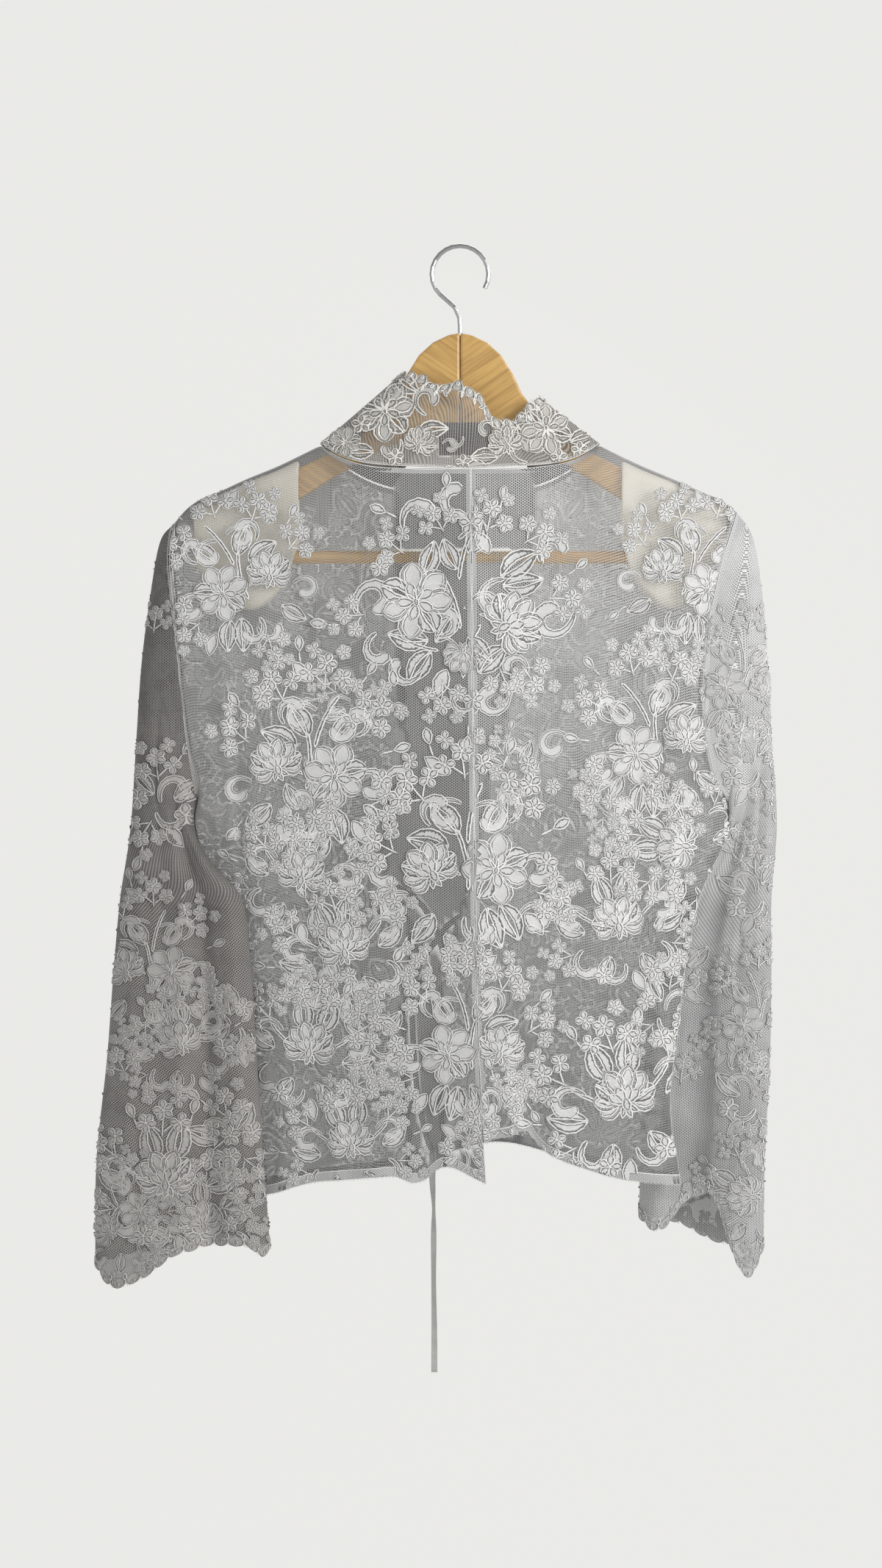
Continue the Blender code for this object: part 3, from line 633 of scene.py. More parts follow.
sleeves = {
    # outer x, y and drop, inner x, y and drop, half of the depth, trough at the back and at the front
    "left": [
        (-232, 0, 228, -205.4, 0, 430, 20, 0, 0), (-239, -1, 266, -206.4, -1, 436, 19, 0, 0),
        (-246, -4, 322, -206.4, -4, 445, 18, 2, 0), (-250, -8, 385, -203.5, -10, 459, 16, 5, 1),
        (-254, -11, 450, -189, -17, 480, 15, 8, 2), (-262, -13, 505, -168, -20, 506, 15, 11, 4),
        (-267, -14, 562, -161, -21, 562, 15, 12, 5), (-272, -14, 628, -157, -21, 628, 16, 12, 5),
        (-280, -14, 705, -152, -22, 698, 17, 13, 6), (-281, -14, 783, -147, -24, 770, 19, 13, 7),
    ],
    "right": [
        (226, 0, 224, 207.6, 0, 430, 20, 0, 0), (233, 1, 262, 208.2, 1, 436, 19, 0, 0),
        (238, 4, 318, 208, 4, 445, 18, 2, 0), (242, 8, 382, 205, 10, 459, 16, 4, 1),
        (246, 11, 446, 189, 17, 480, 15, 7, 2), (242, 13, 505, 168, 20, 506, 15, 10, 4),
        (242, 13, 562, 149, 23, 562, 15, 12, 5), (241, 14, 628, 145, 24, 628, 16, 13, 5),
        (237, 14, 705, 142, 26, 698, 17, 14, 6), (236, 15, 772, 141, 28, 751, 18, 14, 7),
    ],
}
# place across the sleeve, width
sleeveTroughs = {
    "left": {"back": (0.33, 0.10), "front": (0.62, 0.12)},
    "right": {"back": (0.42, 0.22), "front": (0.40, 0.12)},
}
sleeveHems = {
    "left": {
        "back": line((0, 770), (0.04, 775), (0.1, 769), (0.3, 767), (0.45, 770), (0.55, 775), (0.65, 785),
                     (0.8, 797), (0.92, 797), (1, 783)),
        "front": line((0, 770), (0.3, 762), (0.6, 771), (1, 783)),
    },
    "right": {
        "back": line((0, 751), (0.1, 761), (0.2, 758), (0.3, 745), (0.45, 735), (0.62, 739), (0.7, 765),
                     (0.78, 786), (0.9, 794), (1, 772)),
        "front": line((0, 751), (0.3, 757), (0.7, 774), (1, 772)),
    },
}
# place across at the top and bottom, width, depth, first and last section
sleeveCreases = {
    "left": {
        "back": [(0.12, 0.10, 0.03, 1.8, 2.5, 10.5), (0.22, 0.20, 0.025, -1.6, 3, 10), (0.46, 0.5, 0.05, 1.8, 3, 10.5),
                 (0.66, 0.62, 0.05, -1.8, 2, 9), (0.82, 0.84, 0.05, 1.6, 4, 10.5), (0.3, 0.72, 0.06, 1.2, 1, 5)],
        "front": [(0.2, 0.24, 0.05, -1.8, 3, 10.5), (0.42, 0.4, 0.05, 1.8, 2, 10.5), (0.8, 0.78, 0.05, -1.8, 3, 10.5)],
    },
    "right": {
        "back": [(0.1, 0.1, 0.04, 1.8, 3, 10.5), (0.26, 0.24, 0.04, -1.6, 3, 10), (0.56, 0.58, 0.03, 1.6, 4, 10.5),
                 (0.74, 0.7, 0.04, -1.6, 3, 10), (0.86, 0.88, 0.04, 1.6, 2, 10.5)],
        "front": [(0.2, 0.22, 0.05, -1.8, 3, 10.5), (0.6, 0.62, 0.05, 1.8, 2, 10.5), (0.82, 0.8, 0.05, -1.8, 4, 10.5)],
    },
}


def sleeveGrid(side, rows=112, columns=108):
    angle = 2 * math.pi * np.arange(columns) / columns
    place = 0.5 * (1 + np.cos(angle))
    atBack = np.sin(angle) < 0
    middle = (armhole["tip"][side] + armhole["under"][side]) / 2
    reach = (armhole["under"][side] - armhole["tip"][side]) / 2
    drop = middle - reach * np.cos(angle)
    x = sideLines[side](drop)
    y = np.where(atBack, bodyY("back", side, x, drop, False), bodyY("front", side, x, drop, False))
    y[[0, columns // 2]] = 0
    gap = mix(*armhole["gap"], ease((drop - armhole["under"][side]) / armhole["gapOver"] + 1))
    rings = [np.stack([x + outward[side] * gap, y, drop], axis=-1)]
    height = arcHeight(np.cos(angle), 2.4)
    for number, section in enumerate(sleeves[side]):
        ox, oy, od, ix, iy, idrop, half, backFold, frontFold = section
        swell = np.zeros(columns)
        for face, here, fold in (("back", atBack, backFold), ("front", ~atBack, frontFold)):
            spot, width = sleeveTroughs[side][face]
            inward = fold * np.exp(-((place - spot) / width) ** 2)
            swell = np.where(here, facing[face] * height * (half - inward), swell)
        ringDrop = mix(idrop, od, place)
        if number == len(sleeves[side]) - 1:
            ringDrop = np.where(atBack, sleeveHems[side]["back"](place), sleeveHems[side]["front"](place))
        rings.append(np.stack([mix(ix, ox, place), mix(iy, oy, place) + swell, ringDrop], axis=-1))
    stations = np.linspace(0, len(rings) - 1, rows)
    grid = curve(range(len(rings)), np.array(rings))(stations)
    for face, here in (("back", atBack), ("front", ~atBack)):
        for top, bottom, width, depth, start, end in sleeveCreases[side][face]:
            t = ((stations - start) / (end - start))[:, None]
            fade = ease(t / 0.25) * ease((1 - t) / 0.2)
            bump = depth * fade * np.exp(-((place[None, :] - mix(top, bottom, t)) / width) ** 2)
            grid[:, :, 1] += np.where(here[None, :], facing[face] * bump * height[None, :], 0)
    return metres(*np.moveaxis(grid, -1, 0))


collarRim = line((115, 130), (150, 108), (180, 100), (210, 101), (233, 105), (241, 110), (265, 110.5), (272, 117),
                 (278, 130), (284, 136), (293, 138.5), (304, 135), (320, 124), (338, 119), (360, 121), (390, 128),
                 (421, 142))
collar = {
    "topX": 10, "topHalf": 56, "topDepth": {"back": 19, "front": 17}, "swell": 2.5,
    "lift": 0.3, "sideLift": 1.44, "liftOver": 50,      # how far its lower edge stands above the neck
    "first": 115, "last": 421,                          # degrees round the neck, open at the front
}


def collarAt(angle, up):
    turn = np.radians(angle)
    across = roundPower(np.cos(turn), neck["round"])
    deep = roundPower(np.sin(turn), neck["round"])
    atBack = deep < 0
    lowX = neck["half"] * across
    safeX = np.clip(lowX, -neck["half"] + 0.001, neck["half"] - 0.001)
    lowDrop = np.where(atBack, topDrop("back", safeX), topDrop("front", safeX))
    lowDrop = lowDrop - collar["lift"] - collar["sideLift"] * ease(np.abs(lowX) / collar["liftOver"])
    swell = collar["swell"] * np.sin(math.pi * up) * np.abs(deep)
    x = mix(lowX, collar["topX"] + collar["topHalf"] * across, up)
    low = np.where(atBack, neck["depth"]["back"], neck["depth"]["front"])
    high = np.where(atBack, collar["topDepth"]["back"], collar["topDepth"]["front"])
    y = mix(low, high, up) * deep + swell * np.where(atBack, -1, 1)
    return x, y, mix(lowDrop, collarRim(angle), up)


def collarGrid(rows=34, columns=220):
    angles = np.linspace(collar["first"], collar["last"], columns)
    up, angle = np.meshgrid(np.linspace(1, 0, rows), angles, indexing="ij")
    x, y, drop = collarAt(angle, up)
    ruffle = 1.3 * np.sin(np.radians(angle * 14)) * up ** 3     # the loose edge waves a little
    drop = drop + 1.1 * np.sin(np.radians(angle * 23 + 40)) * up ** 4
    return metres(x, y + ruffle * np.sin(np.radians(angle)), drop)


def outNormals(grid, closed=False, away=None):
    # vertex normals of a grid, pointing out of the garment
    if closed:
        alongRow = np.roll(grid, -1, axis=1) - np.roll(grid, 1, axis=1)
    else:
        alongRow = np.gradient(grid, axis=1)
    normal = np.cross(np.gradient(grid, axis=0), alongRow)
    normal /= np.maximum(np.linalg.norm(normal, axis=-1, keepdims=True), 1e-12)
    if away is None:
        away = grid - grid.mean(axis=1, keepdims=True)
    if float((normal * away).sum()) < 0:
        normal = -normal
    return normal


def clothUv(grid, closed=False):
    # round a tube level and straight down, so that the net isn't slanted below the armhole
    across = np.linalg.norm(np.diff(grid[..., :2] if closed else grid, axis=1), axis=-1)
    u = np.concatenate([np.zeros((grid.shape[0], 1)), np.cumsum(across, axis=1)], axis=1)
    if closed:
        return np.stack([u, grid[..., 2]], axis=-1)
    down = np.linalg.norm(np.diff(grid, axis=0), axis=-1)
    v = np.concatenate([np.zeros((1, grid.shape[1])), np.cumsum(down, axis=0)], axis=0)
    return np.stack([u, -v], axis=-1)


cloths = {}


def addCloth(name, grid, closed=False, away=None):
    normal = outNormals(grid, closed, away)
    grid = grid + normal * (wall / 2 * mm)
    rows, columns = grid.shape[:2]
    flat = grid.reshape(-1, 3)
    quads = gridQuads(rows, columns, closed)
    quads = lookOut(flat, quads, normal.reshape(-1, 3)[quads[:, 0]])
    cloths[name] = {
        "grid": grid, "normal": normal, "closed": closed,
        "tree": BVHTree.FromPolygons(flat.tolist(), quads.tolist()),
        "facing": normal.reshape(-1, 3)[quads[:, 0]], "node": name[4:],
        "flat": flat, "quads": quads, "uv": clothUv(grid, closed).reshape(-1, 2),
    }


tones = {
    # thread and hole colours of each net, then its fall: lit and shaded copies of the same white tulle, painted light
    # and shade, the left sleeve darkest and the right sleeve lightest
    "back_left": ((0.50, 0.50, 0.495), (0.045, 0.045, 0.045), (1.0, 0.8)),
    "back_right": ((0.60, 0.60, 0.60), (0.070, 0.070, 0.071), (1.25, 0.72)),
    "front_left": ((0.38, 0.38, 0.375), (0.085, 0.085, 0.085), (1.1, 0.9)),
    "front_right": ((0.50, 0.505, 0.51), (0.15, 0.15, 0.152), (1.35, 0.7)),
    "sleeve_left": ((0.31, 0.30, 0.292), (0.068, 0.065, 0.062), (0.95, 1.5)),
    "sleeve_right": ((0.78, 0.785, 0.79), (0.34, 0.345, 0.35), (1.12, 0.82)),
    "collar": ((0.60, 0.585, 0.56), (0.15, 0.145, 0.135), (1, 1)),
}
# painted light: the front nets glow a little, standing in for light passing through the back into the garment
nets = {key: netMaterial("net_" + key, *tone, 0.12 if "front" in key else 0.0) for key, tone in tones.items()}

for side in ("left", "right"):
    for face in ("back", "front"):
        away = np.array([0, facing[face], 0.35])
        addCloth(f"net_{face}_{side}", panelGrid(face, side, 64 if face == "back" else 130), away=away)
    addCloth(f"net_sleeve_{side}", sleeveGrid(side), closed=True)
addCloth("net_collar", collarGrid())
print("cloth grids made")

# what shows through: each hole of the back is filled in with painted shade where only air lies behind it, and kept
# clear where something lies behind

paintedHoleShade = {"air": 0.9, "cloth": 0.03, "solid": 0.02, "front": 0.86, "lace": 0.02, "ribbon": 0.3, "sleeve": 0.8}
holeFillReach = {"start": 0.0004, "solid": 0.06, "cloth": 0.08}     # in metres


def nodeTree(name):
    mesh = nodes[name].data
    mesh.calc_loop_triangles()
    places = [tuple(v.co) for v in mesh.vertices]
    return BVHTree.FromPolygons(places, [tuple(t.vertices) for t in mesh.loop_triangles])


innerSolids = [nodeTree(name) for name in ("shoulder_pad_left", "shoulder_pad_right", "hanger_left", "hanger_right",
                                           "hanger_bar", "neck_label")]
ribbonSolids = [nodeTree("ribbon_long"), nodeTree("ribbon_short")]
frontCloths = ["net_front_left", "net_front_right"]


def paintedShadeBehind(cloth):
    aim = Vector((0, 1, 0))
    found = np.full(len(cloth["flat"]), paintedHoleShade["air"])
    for k, place in enumerate(cloth["flat"]):
        start = Vector(place) + aim * holeFillReach["start"]
        if any(tree.ray_cast(start, aim, holeFillReach["solid"])[0] is not None for tree in innerSolids):
            found[k] = paintedHoleShade["solid"]
        elif any(cloths[name]["tree"].ray_cast(start, aim, holeFillReach["cloth"])[0] is not None for name in frontCloths):
            found[k] = paintedHoleShade["cloth"]
        elif any(tree.ray_cast(start, aim, holeFillReach["cloth"])[0] is not None for tree in ribbonSolids):
            found[k] = paintedHoleShade["ribbon"]
    return found


# painted shade in the holes: the back and collar by what lies behind them, the fronts and sleeves filled in most of the
# way everywhere
for name, cloth in cloths.items():
    if name.startswith("net_back") or name == "net_collar":
        holeFill = paintedShadeBehind(cloth)
    else:
        holeFill = np.full(len(cloth["flat"]), paintedHoleShade["sleeve" if "sleeve" in name else "front"])
    piece = meshPiece(name, cloth["flat"], cloth["quads"], nets[cloth["node"]], cloth["uv"], {"holeFill": holeFill})
    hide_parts(cloth["node"])
    cloth["piece"] = piece
print("nets placed")

# lace work: every part of a flower is a blade along a bent middle line, in flat millimetres


cordDepth = 0.42        # how far inside an edge its cord is, in millimetres
humps = {"petal": (1.3, 0.6), "leaf": (0.88, 0.85), "bud": (1.15, 0.8)}     # where the widest place is, how full


def profile(shape, s):
    if shape in humps:
        shift, fullness = humps[shape]
        return np.sin(math.pi * s ** shift) ** fullness
    if shape == "dot":
        return arcHeight(2 * s - 1, 2)
    if shape == "scroll":
        body = 0.3 + 0.7 * s ** 1.2
        return body * arcHeight(np.clip((s - 0.86) / 0.14, 0, 1), 2) * arcHeight(np.clip(1 - s / 0.05, 0, 1), 2)
    return arcHeight(2 * s - 1, 9)      # stem


def ridge(points, width, height, rise):
    # a raised cord along an open line
    ahead = np.gradient(points, axis=0)
    ahead /= np.maximum(np.linalg.norm(ahead, axis=1, keepdims=True), 1e-9)
    sideways = np.stack([-ahead[:, 1], ahead[:, 0]], axis=1) * width / 2
    count = len(points)
    flat = np.concatenate([points - sideways, points, points + sideways])
    rises = np.concatenate([np.full(count, rise), np.full(count, rise + height), np.full(count, rise)])
    return {"flat": flat, "rise": rises, "double": np.zeros(3 * count), "quads": ladderQuads(3, count),
            "uv": np.stack([np.tile(walked(points), 3), np.full(3 * count, cordDepth)], axis=1)}


def join(parts):
    starts = np.cumsum([0] + [len(part["uv"]) for part in parts])
    whole = {key: np.concatenate([part[key] for part in parts]) for key in parts[0]}
    whole["quads"] = np.concatenate([part["quads"] + start for part, start in zip(parts, starts)])
    return whole


def placed(part, x=0.0, y=0.0, turn=0.0, size=1.0, flip=False, lift=0.0):
    c, s = math.cos(math.radians(turn)), math.sin(math.radians(turn))
    flat = part["flat"] * size
    if flip:
        flat = flat * [-1, 1]
    flat = np.stack([flat[:, 0] * c - flat[:, 1] * s + x, flat[:, 0] * s + flat[:, 1] * c + y], axis=1)
    return {**part, "flat": flat, "rise": part["rise"] + lift}


def blade(length, half, bend=0.0, power=1.0, shape="leaf", steps=8, slit=0.0, double=False, plain=False,
          rise=0.0, crown=0.25, start=0.0):
    s = 0.5 * (1 - np.cos(math.pi * np.linspace(0, 1, steps)))
    fine = np.linspace(0, 1, 60)
    heading = math.radians(bend) * fine ** power
    step = np.stack([np.sin(heading), np.cos(heading)], axis=1) * length / 59
    walk = np.concatenate([[[0, 0]], np.cumsum((step[1:] + step[:-1]) / 2, axis=0)])
    spine = np.stack([np.interp(s, fine, walk[:, 0]), np.interp(s, fine, walk[:, 1])], axis=1) + [0, start]
    turn = np.interp(s, fine, heading)
    sideways = np.stack([np.cos(turn), -np.sin(turn)], axis=1)
    reach = np.maximum(half * profile(shape, s), 0.06)
    hollow = np.zeros(steps)
    if slit:
        hollow = np.clip(slit * np.sin(math.pi * np.clip((s - 0.16) / 0.62, 0, 1)), 0, reach * 0.6)
    room = reach - hollow
    # columns from the edge inwards: depth in millimetres, most share of the room, height
    columns = [(0.0, 0.0, 0.0), (cordDepth, 0.4, 0.5), (0.95, 0.75, 0.05)]
    if plain:
        columns = columns[:2]
    if double:
        columns += [(1.85, 0.5, 0.08), (2.35, 0.7, 0.45), (2.9, 0.85, 0.1)]
        columns[1:3] = [(cordDepth, 0.15, 0.5), (0.95, 0.3, 0.05)]
    rows = []
    for depth, share, height in columns:
        inset = np.minimum(depth, room * share)
        rows.append((reach - inset, inset, height))
    if slit:
        rows.append((hollow + room * 0.4, room * 0.4, crown))
        rows.append((hollow + np.minimum(cordDepth, room * 0.2), np.minimum(cordDepth, room * 0.2), crown + 0.35))
        rows.append((hollow, np.zeros(steps), 0.0))
    else:
        rows.append((hollow, reach, crown + 0.1))
    aways, depths, heights = (np.concatenate([np.broadcast_to(row[k], steps) for row in rows]) for k in range(3))
    parts = []
    for sign in (-1, 1):
        flat = np.tile(spine, (len(rows), 1)) + np.tile(sideways, (len(rows), 1)) * (sign * aways)[:, None]
        uv = np.stack([np.tile(s * length, len(rows)) + (sign + 1) * 50, depths], axis=1)
        parts.append({"flat": flat, "rise": rise + heights, "uv": uv, "double": np.full(len(flat), float(double)),
                      "quads": ladderQuads(len(rows), steps)})
    return join(parts)


def floret(petals=5):
    parts = []
    for k in range(petals):
        petal = blade(7.4, 3.4, shape="petal", steps=6, start=0.4, rise=0.2 + 0.05 * (k % 2), crown=0.3, plain=True)
        parts.append(placed(petal, turn=360 * k / petals + 9 * (k % 2)))
    parts.append(placed(blade(2.4, 1.2, shape="dot", steps=4, rise=0.7, crown=0.3, plain=True), y=-1.2))
    return join(parts)


def flower():
    parts = []
    outer = [(0, 21, 8.6), (50, 20, 8.2), (103, 18.5, 8.0), (156, 20.5, 8.6), (207, 19, 8.2), (258, 19.5, 8.4),
             (309, 21, 8.6)]
    for k, (turn, length, half) in enumerate(outer):
        petal = blade(length, half, bend=12 * (-1) ** k, shape="petal", steps=9, double=k % 3 != 1,
                      rise=0.2 + 0.12 * (k % 3), crown=0.15, start=3.0, slit=1.2 if k % 3 == 1 else 0.0)
        parts.append(placed(petal, turn=turn))
    for k, turn in enumerate((20, 92, 165, 236, 300)):
        petal = blade(11, 3.8, bend=18, shape="petal", steps=7, rise=0.65 + 0.1 * (k % 2), crown=0.15, start=1.0)
        parts.append(placed(petal, turn=turn))
    for turn in (-28, 0, 28):
        thread = blade(9, 1.5, bend=turn, shape="bud", steps=6, rise=1.0, crown=0.2, plain=True)
        parts.append(placed(thread, turn=-turn, y=-1))
    parts.append(blade(4.6, 2.3, shape="dot", steps=6, rise=1.1, crown=0.2, start=-3.0, plain=True))
    return join(parts)


def halfFlower():
    # seen from the side: three layers of petals that fan upwards over a cup
    parts = []
    fan = [(-95, 15, 5.8), (95, 15, 5.8), (-66, 18, 6.4), (66, 18, 6.4), (-38, 20, 6.8), (38, 20, 6.8),
           (-12, 21, 6.8), (14, 21, 6.8)]
    for k, (turn, length, half) in enumerate(fan):
        petal = blade(length, half, bend=math.copysign(14, turn), shape="petal", steps=8, double=k % 3 != 2,
                      slit=1.0 if k % 3 == 2 else 0.0, rise=0.2 + 0.1 * k, crown=0.15, start=2.0)
        parts.append(placed(petal, turn=-turn))
    for k, turn in enumerate((-52, 52, -18, 18)):
        parts.append(placed(blade(12, 3.6, shape="petal", steps=6, rise=0.95 + 0.08 * k, crown=0.15), turn=turn))
    for turn in (-140, 140, 180):
        parts.append(placed(blade(9, 2.6, bend=20, steps=6, rise=0.5, crown=0.15, plain=True), turn=turn))
    parts.append(blade(8, 3.2, shape="dot", steps=7, rise=1.2, crown=0.2, start=-4, plain=True))
    return join(parts)


def bud():
    stalk = blade(9, 0.6, bend=10, shape="stem", steps=4, plain=True, rise=0.1, crown=0.2)
    return join([stalk, placed(blade(12, 3.6, shape="bud", steps=7, rise=0.2, crown=0.4), x=0.8, y=8.0, turn=-10)])


def cluster():
    parts = []
    for length, bend, y, turn in ((16, 14, 0, 0), (11, -20, 4, 42), (11, 20, 4, -46)):
        stalk = blade(length, 0.6, bend=bend, shape="stem", steps=4, plain=True, rise=0.1)
        parts.append(placed(stalk, y=y, turn=turn))
    for x, y, turn, size, petals in ((2, 20, 5, 1.0, 5), (-11, 12, 30, 0.95, 5), (13, 11, -20, 0.92, 4),
                                     (-8, 30, 40, 0.74, 5), (13, 27, 0, 0.8, 4)):
        parts.append(placed(floret(petals), x, y, turn, size, lift=0.05 * size))
    return join(parts)


kinds = {
    "flower": flower(), "half": halfFlower(), "bud": bud(), "cluster": cluster(), "floret": floret(),
    "leaf": blade(29, 8.6, bend=24, steps=9, slit=1.3, rise=0.15, crown=0.1),
    "small": blade(19, 5.4, bend=-20, steps=7, rise=0.12, crown=0.3),
    "scroll": blade(56, 6.2, bend=300, power=1.5, shape="scroll", steps=17, rise=0.12, crown=0.3),
    "hook": blade(36, 5.2, bend=225, power=1.4, shape="scroll", steps=12, rise=0.12, crown=0.3),
    "stem": blade(38, 1.5, bend=30, shape="stem", steps=7, plain=True, rise=0.05, crown=0.2),
}

# a spray is a list of kind, x, y, turn, size, and 1 where the motif is mirrored
sprays = {
    "centre": [
        ("stem", 2, -46, -3, 1.2), ("stem", 0, -8, 4, 1.2, 1), ("stem", -1, 30, -2, 1.2), ("stem", -4, -18, 62, 0.9),
        ("stem", 2, 8, -58, 0.9, 1), ("stem", -16, -24, 84, 1), ("stem", 14, 4, -96, 0.9),
        ("leaf", -24, -16, 92, 1.15), ("leaf", -22, -24, 134, 1.1, 1), ("leaf", 31, 32, -44, 1.25),
        ("leaf", 32, 26, -92, 1.15, 1), ("leaf", 14, -42, -34, 1.1), ("leaf", -29, 34, -30, 1, 1),
        ("leaf", -2, 38, 36, 0.95), ("leaf", 6, 50, -34, 1, 1), ("small", -10, -38, 150, 1.3),
        ("leaf", 6, -12, -150, 1, 1), ("leaf", -6, 4, 160, 0.9), ("small", 22, 50, 20, 1.1),
        ("scroll", -80, 4, 10, 1.15), ("hook", -44, 70, 12, 1.3), ("hook", 6, 80, 100, 1.25),
        ("hook", -19, -13, -95, 1.1, 1), ("scroll", 34, 31, 92, 1, 1), ("scroll", 88, 6, 168, 1.15),
        ("scroll", 38, -54, 180, 0.95), ("hook", -10, 24, 60, 1, 1), ("hook", 8, 14, -40, 1),
        ("hook", -6, -56, 170, 1.05, 1), ("hook", 62, 44, 20, 1.1), ("hook", -2, 62, -60, 1, 1),
        ("flower", -34, 14, 10, 1.28), ("half", 34, -6, -62, 1.35), ("half", 2, -24, 170, 0.8),
        ("cluster", -72, 4, 100, 0.9), ("hook", -64, -10, 120, 1.1, 1), ("hook", -30, -40, 150, 1.1),
        ("cluster", -14, -46, 186, 1), ("cluster", 20, 66, -18, 1, 1), ("cluster", 48, 58, -56, 1),
        ("cluster", 66, 16, -84, 1), ("cluster", 30, -36, 196, 0.9, 1), ("cluster", 46, -34, 222, 1),
        ("cluster", -42, 50, 58, 0.95), ("cluster", -12, 66, 24, 0.9, 1),
        ("bud", -92, -4, 94, 1.2), ("bud", -48, 78, 58, 1.2, 1), ("bud", 64, 42, 8, 1.2), ("bud", -54, -28, 196, 1.2),
        ("bud", 30, 84, -20, 1, 1), ("bud", -10, 92, 10, 1.1), ("bud", 82, 34, -60, 1, 1), ("bud", 6, -80, 184, 1.1),
        ("floret", 8, 74, 0, 1.2), ("floret", 10, -62, 0, 1.1), ("floret", -62, 40, 0, 1),
    ],
    "tall": [
        ("stem", 0, -30, 4, 1.1), ("stem", 0, 0, -2, 1.1, 1), ("stem", -4, -20, 60, 0.8), ("stem", 4, -20, -62, 0.8, 1),
        ("leaf", 6, 6, -30, 1), ("leaf", 12, -2, -66, 1), ("leaf", -12, 8, 20, 0.9, 1),
        ("leaf", -20, -38, 140, 0.95, 1), ("leaf", -12, -40, 172, 1), ("leaf", 22, -44, 205, 0.85, 1),
        ("scroll", -4, 24, 60, 0.8, 1), ("scroll", 4, 26, -60, 0.75), ("scroll", -32, -14, 40, 0.85, 1),
        ("scroll", 38, -32, -70, 0.7), ("hook", 2, -46, 195, 1), ("hook", -2, -52, 165, 0.9, 1),
        ("hook", 24, 12, -50, 0.9, 1), ("hook", -26, 14, 62, 0.9),
        ("flower", -18, -16, 10, 1), ("half", 22, -20, -28, 1),
        ("cluster", -26, 24, 50, 1), ("cluster", 2, 40, 0, 1), ("cluster", 26, 26, -48, 1, 1),
        ("cluster", -42, -30, 110, 0.9), ("cluster", 44, -6, -70, 0.95, 1), ("cluster", 2, -60, 182, 0.9),
        ("bud", -46, 6, 70, 1.1), ("bud", 50, 12, -60, 1.1, 1), ("bud", -22, 50, 30, 1), ("bud", 22, 56, -24, 1, 1),
        ("bud", 38, -58, 215, 1), ("small", -36, -44, 130, 1), ("small", 14, 44, -40, 1, 1),
        ("floret", 44, 30, 0, 1), ("floret", -50, -12, 0, 1),
    ],
    "wide": [
        ("stem", 0, -16, 0, 1), ("stem", -2, -8, 70, 1), ("stem", 2, -8, -70, 1, 1),
        ("leaf", -4, 10, 24, 1), ("leaf", 6, 10, -26, 1.05, 1), ("leaf", -26, -6, 70, 0.9),
        ("leaf", 26, -10, -84, 0.95, 1),
        ("leaf", -10, -26, 160, 0.85), ("leaf", 14, -28, 196, 0.85, 1),
        ("scroll", -22, 8, 36, 0.8, 1), ("scroll", 24, 6, -40, 0.8), ("hook", -30, -18, 120, 1, 1),
        ("hook", 30, -22, -125, 1),
        ("hook", 0, -34, 184, 0.9),
        ("half", 0, -6, 0, 1.1),
        ("cluster", 0, 26, 0, 1), ("cluster", -30, 14, 60, 0.95), ("cluster", 32, 14, -60, 0.95, 1),
        ("cluster", -36, -20, 105, 0.85), ("cluster", 36, -24, -110, 0.85, 1),
        ("bud", -16, 34, 28, 1), ("bud", 18, 34, -28, 1, 1), ("bud", -52, 0, 80, 1), ("bud", 54, -6, -80, 1, 1),
        ("floret", -18, -40, 0, 1), ("floret", 20, -42, 20, 1), ("small", 6, -40, 190, 1),
    ],
    "vine": [
        ("scroll", 0, 0, 10, 0.8), ("hook", -4, -6, 190, 1, 1), ("leaf", 8, 2, -70, 0.9, 1), ("leaf", -4, 6, 50, 0.85),
        ("cluster", 0, 14, 10, 0.9), ("cluster", -6, -10, 150, 0.85), ("floret", 16, -10, 0, 1.1),
        ("floret", -16, 4, 30, 1),
        ("bud", 12, 26, -30, 1), ("bud", -14, -28, 165, 1), ("small", 4, -16, 200, 1),
    ],
}
sprayParts = {}
for name, rows in sprays.items():
    sprayParts[name] = join([placed(kinds[kind], x, y, turn, size, bool(flip), lift=0.012 * k)
                             for k, (kind, x, y, turn, size, *flip) in enumerate(rows)])

